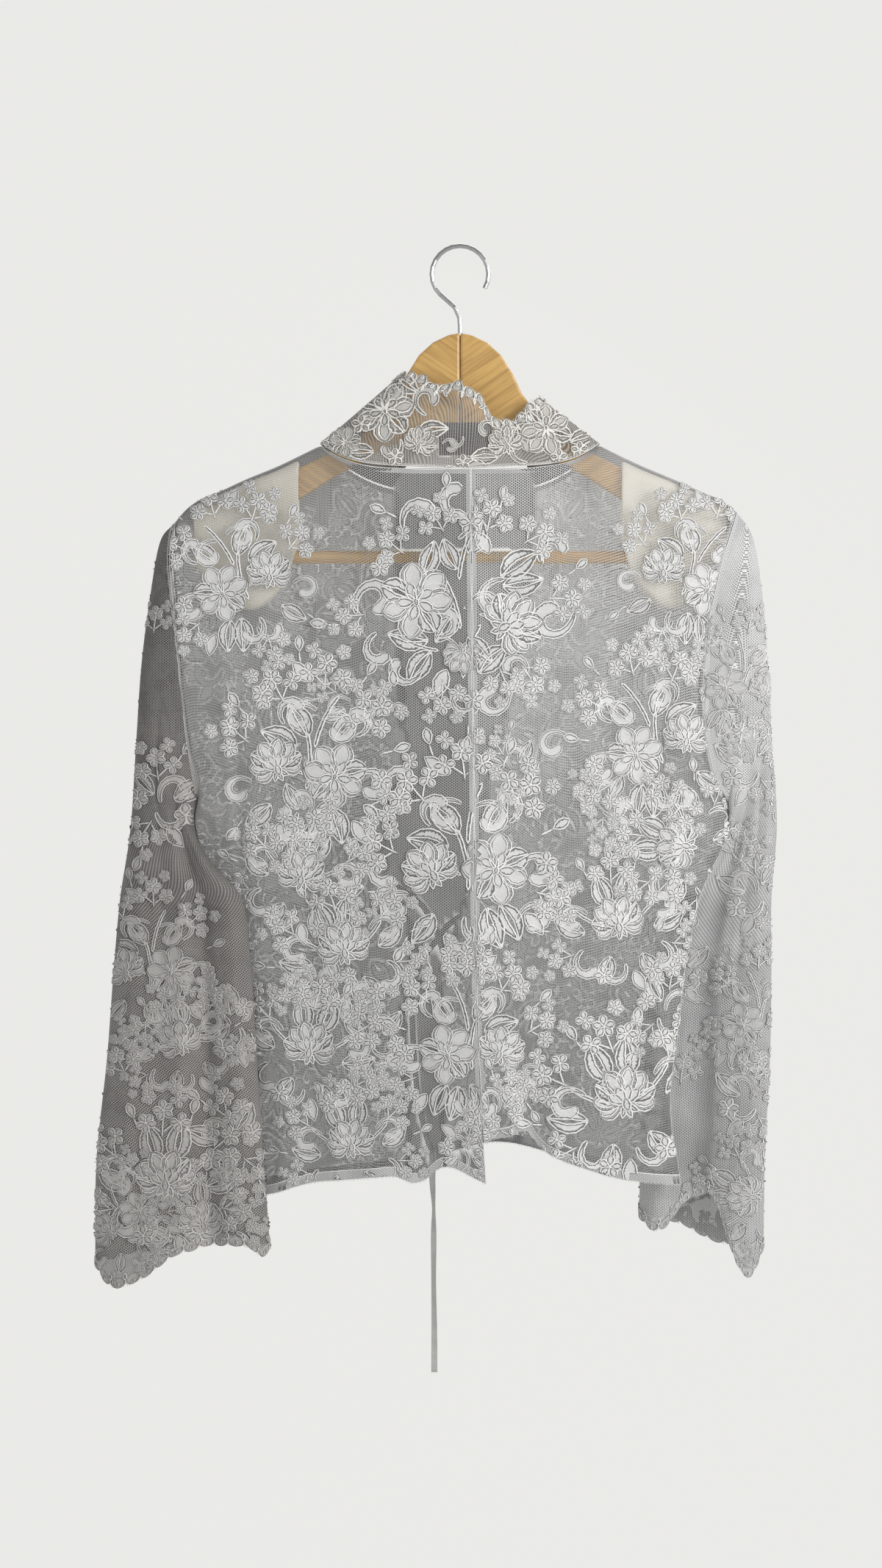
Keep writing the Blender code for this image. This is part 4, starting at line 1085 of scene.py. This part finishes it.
# where each spray lies: spray or motif, x, drop, turn, size, and 1 where it is mirrored
laid = {
    "back": [
        ("centre", 0, 289, 0, 1), ("tall", 6, 462, 0, 1.2, 1), ("tall", 6, 606, 6, 1),
        ("tall", 146, 372, 20, 1), ("wide", 168, 462, 76, 0.95, 1), ("wide", 121, 520, 10, 1),
        ("wide", 126, 655, 14, 1.2, 1), ("tall", -112, 388, -12, 1.1, 1), ("wide", -122, 484, -10, 0.95),
        ("wide", -90, 540, 12, 1, 1), ("wide", -116, 617, -8, 1), ("wide", -84, 690, 6, 0.9, 1),
        ("tall", -174, 248, 24, 0.95), ("tall", 182, 246, -26, 0.9, 1), ("vine", -118, 440, -30, 0.9, 1),
        ("vine", 40, 404, 30, 0.8), ("vine", 158, 590, -12, 1), ("vine", -66, 612, 20, 0.9),
        ("vine", 28, 668, -20, 0.9, 1), ("vine", -96, 574, 80, 0.8), ("scroll", 82, 378, 60, 0.8, 1),
        ("vine", -84, 352, 60, 0.8, 1), ("vine", 110, 430, 30, 0.8), ("cluster", 58, 640, 140, 0.9),
        ("hook", -54, 424, 30, 1.1), ("hook", -60, 470, 120, 1.1, 1), ("scroll", 44, 520, -20, 0.9),
        ("hook", 52, 330, 0, 0.9, 1), ("cluster", 190, 334, 0, 0.9), ("hook", -74, 656, 60, 1),
        ("vine", 4, 698, 200, 0.8),
    ],
    "front": [
        ("tall", -164, 244, -14, 0.9), ("tall", -74, 280, 10, 0.95, 1), ("wide", -152, 388, 14, 0.9),
        ("tall", -92, 420, 0, 1), ("tall", -150, 480, -12, 0.9, 1), ("wide", -84, 530, 12, 1, 1),
        ("tall", -132, 610, 10, 1), ("wide", -70, 640, -6, 0.95), ("wide", -120, 694, 4, 0.9, 1),
        ("vine", -76, 214, 0, 1.1), ("vine", -190, 320, 0, 1, 1), ("vine", -62, 360, 0, 0.9),
        ("tall", 150, 250, 14, 1, 1), ("vine", 90, 290, -10, 1.1), ("wide", 150, 360, -14, 0.95, 1),
        ("tall", 62, 400, 0, 0.9, 1), ("tall", 156, 480, 12, 0.9), ("wide", 36, 500, -12, 1),
        ("tall", 142, 600, -10, 0.9, 1), ("wide", 26, 606, 6, 1, 1), ("wide", 108, 684, -4, 0.9),
        ("vine", 78, 214, 0, 1, 1), ("vine", 26, 552, 0, 1), ("vine", 36, 672, 0, 1, 1),
    ],
}
sleeveLaid = {
    "net_sleeve_left": {
        "back": [
            ("cluster", -236, 300, 0, 0.8), ("vine", -230, 430, 4, 1.1),
            ("tall", -236, 545, -4, 0.85, 1), ("wide", -216, 612, 20, 0.8), ("vine", -176, 600, 40, 1, 1),
            ("wide", -226, 716, 4, 1.1), ("tall", -262, 740, 30, 0.7, 1),
            ("vine", -176, 690, 10, 1.1, 1), ("wide", -200, 750, 20, 0.8), ("cluster", -256, 640, 20, 0.9, 1),
        ],
        "front": [
            ("tall", -226, 380, 0, 0.8), ("tall", -226, 510, 8, 0.95, 1), ("wide", -190, 610, 0, 0.9),
            ("tall", -232, 650, -8, 0.9), ("wide", -200, 730, 0, 1, 1), ("vine", -236, 280, 0, 1),
        ],
    },
    "net_sleeve_right": {
        "back": [
            ("tall", 218, 330, -4, 0.75), ("vine", 226, 400, 0, 1, 1), ("cluster", 214, 470, 0, 0.9),
            ("vine", 230, 500, 4, 1, 1), ("tall", 232, 590, 4, 0.75), ("vine", 170, 560, 10, 0.9),
            ("vine", 226, 660, -10, 1, 1), ("cluster", 172, 650, 0, 0.9), ("wide", 222, 735, 76, 0.8),
            ("cluster", 160, 700, 60, 0.8),
        ],
        "front": [
            ("tall", 222, 380, 0, 0.8, 1), ("tall", 212, 510, -8, 0.95), ("wide", 184, 610, 0, 0.9, 1),
            ("tall", 214, 650, 8, 0.9, 1), ("wide", 190, 720, 0, 1), ("vine", 228, 290, 0, 1, 1),
        ],
    },
}
collarLaid = {
    "back": [
        ("flower", -58, 128, 20, 1.05), ("scroll", -26, 132, 60, 0.8), ("scroll", 14, 126, -80, 0.75, 1),
        ("flower", 66, 142, 200, 0.9), ("flower", -88, 152, 80, 0.55), ("half", 36, 156, 20, 0.75),
        ("half", -32, 156, -20, 0.7, 1), ("cluster", -92, 154, 80, 0.7), ("leaf", -34, 146, -70, 0.9),
        ("leaf", 30, 164, 80, 0.8, 1), ("hook", 42, 150, 20, 0.9), ("hook", -10, 118, 30, 0.8),
        ("leaf", 84, 152, -60, 0.8), ("floret", -76, 138, 0, 1), ("floret", 2, 168, 0, 0.8),
        ("floret", -50, 164, 0, 0.9), ("leaf", -66, 160, 80, 0.8, 1), ("small", 12, 120, -60, 1),
        ("leaf", -32, 114, 60, 0.9), ("hook", -40, 106, 40, 0.8, 1), ("floret", 92, 158, 0, 0.9),
        ("scroll", 52, 168, 90, 0.7), ("leaf", 30, 142, 30, 0.8), ("floret", 76, 164, 0, 0.9),
        ("hook", -12, 172, -80, 0.8), ("leaf", 50, 134, 40, 0.8), ("hook", 66, 124, 120, 0.7, 1),
        ("leaf", -100, 164, 40, 0.6), ("hook", -46, 150, 200, 0.8), ("floret", -18, 108, 10, 0.9),
        ("scroll", -14, 154, -40, 0.42),
        ("hook", 26, 138, 60, 0.6, 1), ("hook", 2, 148, 190, 0.5), ("leaf", -70, 112, 30, 0.8),
        ("leaf", 80, 132, -30, 0.7, 1), ("small", -82, 164, 90, 1), ("small", 20, 170, 90, 1),
    ],
    "front": [
        ("flower", -58, 140, 0, 0.9), ("cluster", -78, 160, 40, 0.8), ("scroll", -44, 160, 180, 0.6),
        ("leaf", -60, 116, 10, 0.8), ("flower", 62, 148, 0, 0.8), ("cluster", 80, 160, -40, 0.8, 1),
        ("scroll", 46, 168, 180, 0.6, 1), ("leaf", 56, 130, -10, 0.7, 1), ("floret", -40, 120, 0, 1),
        ("floret", -90, 152, 0, 1), ("floret", 44, 142, 0, 1), ("floret", 92, 156, 0, 1),
    ],
}


laceLie = {"above": 0.00022, "longest": 0.014}     # in metres: height over the cloth, a face's longest diagonal


def layOn(cloth, part, towards):
    # drops a flat motif on the cloth along Y; a face with a corner off the cloth is left out
    tree = cloth["tree"]
    aim = Vector((0, towards, 0))
    places = np.zeros((len(part["flat"]), 3))
    hit = np.zeros(len(places), bool)
    outwards = np.zeros_like(places)
    for k, (x, height) in enumerate(part["flat"]):
        found, normal, index, _ = tree.ray_cast(Vector((x * mm, -0.5 * towards, height * mm)), aim)
        if found is not None:
            hit[k] = True
            places[k] = found
            outwards[k] = cloth["facing"][index]
    places += outwards * (part["rise"] * mm + laceLie["above"])[:, None]
    quads = part["quads"][hit[part["quads"]].all(axis=1)]
    a, b, c, d = (places[quads[:, k]] for k in range(4))
    longest = np.maximum(np.linalg.norm(c - a, axis=1), np.linalg.norm(d - b, axis=1))
    quads = quads[longest < laceLie["longest"]]      # a face that stretches over an edge is left out too
    quads = lookOut(places, quads, outwards[quads[:, 0]], each=True)
    return {"places": places, "quads": quads, "uv": part["uv"] * mm, "double": part["double"]}


def gather(pieces):
    # joined, without the vertices that no face uses
    whole = join(pieces)
    quads = whole.pop("quads")
    used = np.unique(quads)
    fresh = np.full(len(whole["uv"]), -1)
    fresh[used] = np.arange(len(used))
    return {key: value[used] for key, value in whole.items()} | {"quads": fresh[quads]}


laceTones = {
    # filling and cord colours, the groove colour of the painted shadow beside each cord, how thick the cord is, then
    # its fall: lit and shaded copies of the same white lace, painted light and shade
    "back_left": ((0.62, 0.62, 0.62), (0.84, 0.84, 0.835), (0.17, 0.17, 0.17), 1.3, (1.0, 0.88)),
    "back_right": ((0.70, 0.70, 0.70), (0.90, 0.90, 0.895), (0.20, 0.20, 0.20), 1.3, (1.0, 0.95)),
    "front": ((0.50, 0.50, 0.50), (0.64, 0.64, 0.64), (0.25, 0.25, 0.25), 1.3, (0.95, 0.85)),
    "sleeve_left": ((0.38, 0.37, 0.36), (0.56, 0.55, 0.54), (0.16, 0.155, 0.15), 1.3, (1, 1)),
    "sleeve_right": ((0.52, 0.52, 0.52), (0.78, 0.78, 0.78), (0.24, 0.24, 0.24), 1.3, (1.05, 0.9)),
    "collar": ((0.53, 0.52, 0.495), (0.86, 0.85, 0.825), (0.19, 0.18, 0.165), 1.8, (1, 1)),
}
# painted light: the front lace glows strongly and the rest a little, standing in for light passing into the garment
laceMaterials = {key: laceMaterial("lace_" + key, *tone, 0.42 if key == "front" else 0.04)
                 for key, tone in laceTones.items()}
seamTones = {
    # a doubled net: thread and hole colours, lit and shaded copies for each piece, painted light and shade
    "back": ((0.60, 0.605, 0.61), (0.34, 0.34, 0.345)),
    "front": ((0.62, 0.63, 0.64), (0.32, 0.32, 0.325)),
    "sleeve_left": ((0.56, 0.555, 0.54), (0.27, 0.265, 0.255)),
    "sleeve_right": ((0.76, 0.77, 0.78), (0.46, 0.465, 0.47)),
    "collar": ((0.66, 0.655, 0.64), (0.34, 0.335, 0.32)),
}
seamMaterials = {key: netMaterial("seam_" + key, *tone, (1, 1), 0.0) for key, tone in seamTones.items()}


def spraysOn(name, rows, towards):
    found = []
    for k, (kind, x, drop, turn, size, *flip) in enumerate(rows):
        part = sprayParts.get(kind) or kinds[kind]
        found.append(layOn(cloths[name], placed(part, x, -drop, turn, size, bool(flip), 0.02 * (k % 7)), towards))
    return found


work = {}
seams = {name: [] for name in cloths}
for face, rows in laid.items():
    for side in ("left", "right"):
        near = [row for row in rows if row[1] * outward[side] > -90]
        work[f"net_{face}_{side}"] = spraysOn(f"net_{face}_{side}", near, -facing[face])
for name, rows in sleeveLaid.items():
    work[name] = spraysOn(name, rows["back"], 1) + spraysOn(name, rows["front"], -1)
work["net_collar"] = spraysOn("net_collar", collarLaid["back"], 1) + spraysOn("net_collar", collarLaid["front"], -1)
print("sprays laid")

# borders: scallops, a narrow band and a fringe, along each edge


def edgeOf(cloth, row=None, column=None):
    # the edge's path, the way out of the cloth and the way up from it
    grid, normal = cloth["grid"], cloth["normal"]
    if row is not None:
        path, up = grid[row], normal[row]
        out = path - grid[3 if row == 0 else row - 3]
    else:
        path, up = grid[:, column], normal[:, column]
        out = path - grid[:, 3 if column == 0 else column - 3]
    out = out / np.maximum(np.linalg.norm(out, axis=1, keepdims=True), 1e-9)
    if cloth["closed"] and row is not None:
        path, up, out = (np.concatenate([part, part[:1]]) for part in (path, up, out))
    return path, out, up


def wrapOn(edge, part):
    # flat x runs along the edge and flat y out of it
    path, out, up = edge
    length = walked(path)
    s = part["flat"][:, 0] * mm

    def at(values):
        return np.stack([np.interp(s, length, values[:, k]) for k in range(3)], axis=1)
    lift = at(up)
    places = at(path) + at(out) * (part["flat"][:, 1] * mm)[:, None] + lift * (part["rise"] * mm + 0.0002)[:, None]
    quads = lookOut(places, part["quads"], lift[part["quads"][:, 0]], each=True)
    return {"places": places, "quads": quads, "uv": part["uv"] * mm, "double": part["double"]}


def lengthOf(edge):
    return float(np.linalg.norm(np.diff(edge[0], axis=0), axis=1).sum()) / mm


def lashes(length, step, reach, seed):
    # a fringe of single threads, each a thin tapered strip
    rng = np.random.default_rng(seed)
    s = np.arange(step / 2, length, step)
    s = s + rng.uniform(-0.3, 0.3, len(s)) * step
    long = reach * rng.uniform(0.45, 1.0, len(s))
    lean = rng.uniform(-0.45, 0.45, len(s)) * long
    lift = rng.uniform(-0.3, 0.5, len(s))
    base = np.stack([s, np.full(len(s), -0.5)], axis=1)
    middle = np.stack([s + lean * 0.35, long * 0.5], axis=1)
    tip = np.stack([s + lean, long], axis=1)
    half = np.array([0.2, 0])
    flat = np.concatenate([place + half * share for place, taper in ((base, 1), (middle, 0.8), (tip, 0.3))
                           for share in (-taper, taper)])
    rises = np.concatenate([np.zeros(2 * len(s)), np.tile(lift, 2), np.tile(lift * 2, 2)])
    n = len(s)
    k = np.arange(n)
    quads = np.concatenate([np.stack([k, k + n, k + 3 * n, k + 2 * n], axis=1) + row * n for row in (0, 2)])
    return {"flat": flat, "rise": rises, "uv": np.full((6 * n, 2), 5.0), "double": np.zeros(6 * n), "quads": quads}


def strip(length, inner):
    # a flat strip beside the edge, under the lace
    s = np.linspace(0, length, max(6, int(length / 4)))
    count = len(s)
    flat = np.concatenate([np.stack([s, np.full(count, away)], axis=1) for away in (inner, -0.1)])
    return {"flat": flat, "rise": np.full(2 * count, -0.1), "uv": flat.copy(), "double": np.ones(2 * count),
            "quads": ladderQuads(2, count)}


def stitches(length, away, width, height):
    s = np.linspace(0, length, max(6, int(length / 4)))
    return ridge(np.stack([s, away + 0.25 * np.sin(s / 7)], axis=1), width, height, 0.1)


def scallops(length, step, deep):
    # one rounded lobe after another, each with an eye, and a small leaf between
    count = max(2, round(length / step))
    real = length / count
    lobe = blade(deep * 1.9, real * 0.54, shape="dot", steps=8, rise=0.1, crown=0.2)
    eye = blade(deep * 0.8, real * 0.17, shape="dot", steps=5, rise=0.5, crown=0.2, plain=True)
    tuck = blade(deep * 1.6, real * 0.14, shape="leaf", steps=6, rise=0.35, crown=0.2, plain=True)
    parts = []
    for k in range(count):
        s = (k + 0.5) * real
        parts.append(placed(lobe, s, -deep * 1.15 + 0.5 * math.sin(k * 2.3)))
        parts.append(placed(eye, s, -deep * 0.35))
        if 0 < k:
            parts.append(placed(tuck, s - real / 2, -deep * 1.9, 6 * math.sin(k * 1.7)))
    return join(parts)


def border(name, edge, step, deep, fringe, seed, band=None):
    edge = edgeOf(cloths[name], **edge)
    length = lengthOf(edge)
    parts = [lashes(length, 0.9, fringe, seed)]
    if step:
        parts.append(scallops(length, step, deep))
    if band:
        parts.append(stitches(length, -band, 0.7, 0.35))
        seams[name].append(wrapOn(edge, strip(length, -band)))
    work[name].append(wrapOn(edge, join(parts)))


def seam(name, edge, width):
    # a narrow doubled strip with a line of stitches
    edge = edgeOf(cloths[name], **edge)
    length = lengthOf(edge)
    seams[name].append(wrapOn(edge, strip(length, -width)))
    work[name].append(wrapOn(edge, stitches(length, -0.5, 0.4, 0.12)))


# the edge, then the scallops' step and depth, the fringe's length, its seed and the hem's width
border("net_collar", {"row": 0}, 11, 4.5, 5.0, 1)
for number, side in enumerate(("left", "right")):
    border(f"net_back_{side}", {"row": -1}, 0, 0, 1.6, 10 + number, band=7)
    border(f"net_front_{side}", {"row": -1}, 0, 0, 1.6, 20 + number, band=7)
    border(f"net_front_{side}", {"column": 0}, 17, 8, 4.0, 30 + number)
    border(f"net_sleeve_{side}", {"row": -1}, 13, 4.2, 3.6, 40 + number)
for side in ("left", "right"):
    seam(f"net_back_{side}", {"column": 0}, 3.4)
    for face in ("back", "front"):
        seam(f"net_{face}_{side}", {"row": 0}, 4.0)
        seam(f"net_{face}_{side}", {"column": -1}, 2.6)
    seam(f"net_sleeve_{side}", {"row": 0}, 3.4)
seam("net_collar", {"row": -1}, 2.4)

for name, parts in work.items():
    whole = gather(parts)
    tone = name[4:] if "sleeve" in name or "collar" in name else name[4:].split("_")[0]
    thread = laceMaterials[name[4:] if name[4:] in laceTones else tone]
    piece = meshPiece("lace" + name[3:], whole["places"], whole["quads"], thread, whole["uv"],
                      {"double": whole["double"]})
    doubled = gather(seams[name])
    trim = meshPiece("seam" + name[3:], doubled["places"], doubled["quads"], seamMaterials[tone], doubled["uv"],
                     {"holeFill": doubled["double"]})
    cloths[name]["trims"] = [piece, trim]
print("lace and seams placed")


def clearBehindLace(name):
    # a front's painted shade in its holes is taken away where its own lace lies over them, so that the lace shows from
    # inside as a pale ghost
    cloth = cloths[name]
    lace = cloth["trims"][0].data
    tree = BVHTree.FromPolygons([v.co for v in lace.vertices], [p.vertices for p in lace.polygons])
    holeFill = np.zeros(len(cloth["flat"]))
    for k, place in enumerate(cloth["flat"]):
        hits = sum(tree.ray_cast(Vector(place) + Vector((x, -0.0004, z)), (0, 1, 0), 0.008)[0] is not None
                   for x, z in ((0, 0), (0.0012, 0), (-0.0012, 0), (0, 0.0018), (0, -0.0018)))
        holeFill[k] = mix(paintedHoleShade["front"], paintedHoleShade["lace"], hits / 5)
    cloth["piece"].data.attributes["holeFill"].data.foreach_set("value", holeFill.astype(np.float32))


for name in frontCloths:
    clearBehindLace(name)
print("fronts cleared behind their lace")
# shoulder pads: a folded half moon of felt, thick on top and thin at its rim

pads = {
    "wall": 4.0, "belowCloth": 2.0, "half": 6.5,
    "bottom": line((125, 226), (128.5, 241), (136, 257), (146, 271), (161, 280), (177, 276), (190, 265),
                   (200, 253), (206, 244)),
    "flare": line((125, 3), (128.5, 4), (136, 4.5), (161, 4.5), (190, 3), (206, 1)),
}


def padSection(x, count=41):
    # the middle of the wall, from the back rim over the arm to the front rim
    half = pads["half"] + pads["wall"] / 2
    spring = float(shoulderLine(x)) + pads["belowCloth"] + pads["wall"] + pads["half"]
    bottom, flare = float(pads["bottom"](x)), float(pads["flare"](x))
    places = []
    for t in np.linspace(1, 0, 13)[:-1]:
        places.append((-(half + flare * float(ease(t))), mix(spring, bottom, t)))
    for degrees in np.linspace(0, 180, 17):
        turn = math.radians(degrees)
        places.append((-half * math.cos(turn), spring - half * math.sin(turn)))
    for t in np.linspace(0, 1, 13)[1:]:
        places.append((half + flare * float(ease(t)), mix(spring, bottom, t)))
    return np.array(places)


def addPad(side):
    xs = 125 + 81 * 0.5 * (1 - np.cos(math.pi * np.linspace(0, 1, 34)))
    middle = []
    for x in xs:
        section = padSection(x)
        middle.append(metres(np.full(len(section), outward[side] * x), section[:, 0], section[:, 1]))
    middle = np.array(middle)
    normal = outNormals(middle, away=middle - np.array([0, 0, -0.3]))

    def taper(count):
        fromEnd = np.minimum(np.arange(count), np.arange(count)[::-1]) / (count / 2)
        return arcHeight(1 - np.minimum(fromEnd * 4, 1), 2) * 0.92 + 0.08
    thick = (pads["wall"] / 2 - 0.1) * mm * np.minimum(taper(middle.shape[1])[None, :], taper(len(xs))[:, None])
    places, quads = slab(middle + normal * thick[..., None], middle - normal * thick[..., None], normal)
    return meshPiece(f"pad_{side}", places, quads, felt)


felt = feltMaterial("felt")
for side in ("left", "right"):
    pad = addPad(side)
    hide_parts(f"shoulder_pad_{side}")
print("pads placed")

# ribbons at the front, hanging free below the tie

ribbons = {
    "width": 4.8, "thick": 0.8, "step": 4.0,
    # x, y, drop, turn in degrees
    "ribbon_long": [
        (12, 26.1, 512, 0), (3, 26.3, 518, 0), (-7, 27.4, 524, 0), (-20, 27.8, 540, 0), (-30, 27.6, 554, 0),
        (-36, 27.2, 572, 0), (-37, 27.2, 606, 8), (-34, 27.6, 650, 20), (-28, 27.8, 685, 10), (-22, 27.8, 706, -15),
        (-21.5, 27.6, 727, 10), (-20.5, 27.4, 747, 62), (-20.5, 27.2, 768, 25), (-20.5, 27, 800, 40),
        (-20, 27, 847, 20), (-20, 27, 876, 0),
    ],
    "ribbon_short": [(-56, 25.9, 492, 0), (-44, 26.1, 499, 0), (-30, 26.1, 510, 0), (-18, 26.1, 532, 0),
                     (-11, 26.1, 556, 0), (-7, 26.1, 585, 0), (-6, 26.1, 604, 0)],
    "ribbon_tab": [(-66, 24.75, 421, 0), (-60, 24.8, 421.5, 0), (-52, 25, 423, 0), (-34, 25.8, 425, 0)],
    "ribbon_loop": [(-52, 26.4, 569, 0), (-44, 28.2, 570, 0), (-36, 28.6, 571, 0), (-30, 28.4, 571.5, 0)],
}


def addRibbon(name, material):
    stops = np.array(ribbons[name], float)
    lengths = walked(stops[:, :3])
    route = curve(lengths, stops)
    stations = np.linspace(0, lengths[-1], max(8, round(lengths[-1] / ribbons["step"])) + 1)
    here, ahead, behind = route(stations), route(stations + 1), route(stations - 1)
    middle, along = metres(*here.T[:3]), metres(*ahead.T[:3]) - metres(*behind.T[:3])
    along /= np.linalg.norm(along, axis=1, keepdims=True)
    side = np.cross(along, [0, 1, 0])
    side /= np.linalg.norm(side, axis=1, keepdims=True)
    up = np.cross(side, along)
    turn = np.radians(here[:, 3])[:, None]
    side, up = side * np.cos(turn) - up * np.sin(turn), side * np.sin(turn) + up * np.cos(turn)
    # middle of the solid's wall, which grows outwards from the route
    middle = middle + np.array([0, 0.5 * mm, 0])
    shape = [(-0.5, 0.0), (-0.46, 0.42), (-0.36, 0.2), (0, 0.3), (0.36, 0.2), (0.46, 0.42), (0.5, 0.0),
             (0.46, -0.42), (0.36, -0.2), (0, -0.3), (-0.36, -0.2), (-0.46, -0.42)]
    rows = [middle + side * (x * ribbons["width"] * mm) + up * (y * ribbons["thick"] * mm) for x, y in shape]
    grid = np.stack(rows, axis=1)
    count, around = grid.shape[:2]
    places = grid.reshape(-1, 3)
    quads = gridQuads(count, around, closed=True)
    quads = lookOut(places, quads, places[quads[:, 0]] - np.repeat(middle[:-1], around, axis=0))
    ends = []
    for base in (0, (count - 1) * around):
        flip = runsAlong(quads, base, base + 1)
        for k in range(around // 2 - 1):
            cap = [base + k, base + k + 1, base + around - 2 - k, base + around - 1 - k]
            ends.append(cap[::-1] if flip else cap)
    across = [x * ribbons["width"] * mm for x, _ in shape]
    uv = np.stack([np.tile(across, count), np.repeat(stations * mm, around)], axis=1)
    piece = meshPiece("satin" + name[6:], places, np.concatenate([quads, ends]), material, uv)
    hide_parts(name)
    return piece, [tuple(place) for place in middle], float(np.linalg.norm(np.diff(middle, axis=0), axis=1).sum())


satin = tapeMaterial("satin", (0.58, 0.585, 0.57), (0.30, 0.305, 0.295), 0.0009)
longRibbon, longPath, longLength = addRibbon("ribbon_long", satin)
for name in ("ribbon_short", "ribbon_tab", "ribbon_loop"):
    addRibbon(name, satin)
print("ribbon", round(longLength, 4), "m")

# blank woven label inside the collar

label = {"left": -17, "right": 24, "top": 137, "bottom": 163, "gap": 0.9, "wall": 1.0}


def labelDepth(x, drop):
    # how deep the collar is at the label's place, less the gap and the label's wall
    angle, up = 270.0, 0.5
    for _ in range(16):
        cx, cy, cd = collarAt(angle, up)
        angle += float(np.clip((x - cx) * 0.6, -6, 6))
        up = float(np.clip(up + (cd - drop) * 0.012, 0, 1))
    cx, cy, cd = collarAt(angle, up)
    return float(cy) + label["gap"] + label["wall"]


def addLabel():
    drops = np.linspace(label["top"] + 0.3, label["bottom"] - 0.3, 14)
    xs = np.linspace(label["left"] + 0.3, label["right"] - 0.3, 22)
    outer, inner = [], []
    for drop in drops:
        nearEdge = min(drop - label["top"], label["bottom"] - drop) < 2.2      # the turned-in edge is thicker
        depths = np.array([labelDepth(x, drop) for x in xs])
        outer.append(metres(xs, depths - (0.95 if nearEdge else 0.7), np.full(22, drop)))
        inner.append(metres(xs, depths - 0.15, np.full(22, drop)))
    outer, inner = np.array(outer), np.array(inner)
    places, quads = slab(outer, inner, np.broadcast_to([0, -1, 0], outer.shape))
    weave = tapeMaterial("label_weave", (0.045, 0.045, 0.05), (0.012, 0.012, 0.014), 0.0006)
    piece = meshPiece("label", places, quads, weave, places[:, [0, 2]], smooth=False)
    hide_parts("neck_label")


addLabel()
print("label placed")

# wooden hanger, bar and hook, on the solids' own meshes

for name, slant in (("hanger_left", -34), ("hanger_right", 34)):
    nodes[name].material_slots[0].material = oakMaterial("oak_" + name, slant)
# painted light: the bar glows a little, as it sits in the shade inside the garment
nodes["hanger_bar"].material_slots[0].material = oakMaterial("oak_bar", 0, paintedGlow=0.08)
nodes["hanger_hook"].material_slots[0].material = wireMaterial("wire")


glueLine = {"wide": 0.3, "deep": 5.4, "top": 68.3, "bottom": 139.7}     # the mitre's dark joint, in millimetres


def addGlueLine():
    tall = glueLine["bottom"] - glueLine["top"]
    bpy.ops.mesh.primitive_cube_add(size=1, location=(0, 0, -(glueLine["top"] + tall / 2) * mm))
    glue = bpy.context.object
    glue.name = "glue_line"
    glue.scale = (glueLine["wide"] * mm, glueLine["deep"] * mm, tall * mm)
    bpy.ops.object.transform_apply(location=True, rotation=True, scale=True)
    glue.data.materials.append(oakMaterial("glue", 0, (0.20, 0.115, 0.045), (0.12, 0.065, 0.025)))
    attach(glue, "root")


addGlueLine()
print("hanger finished")
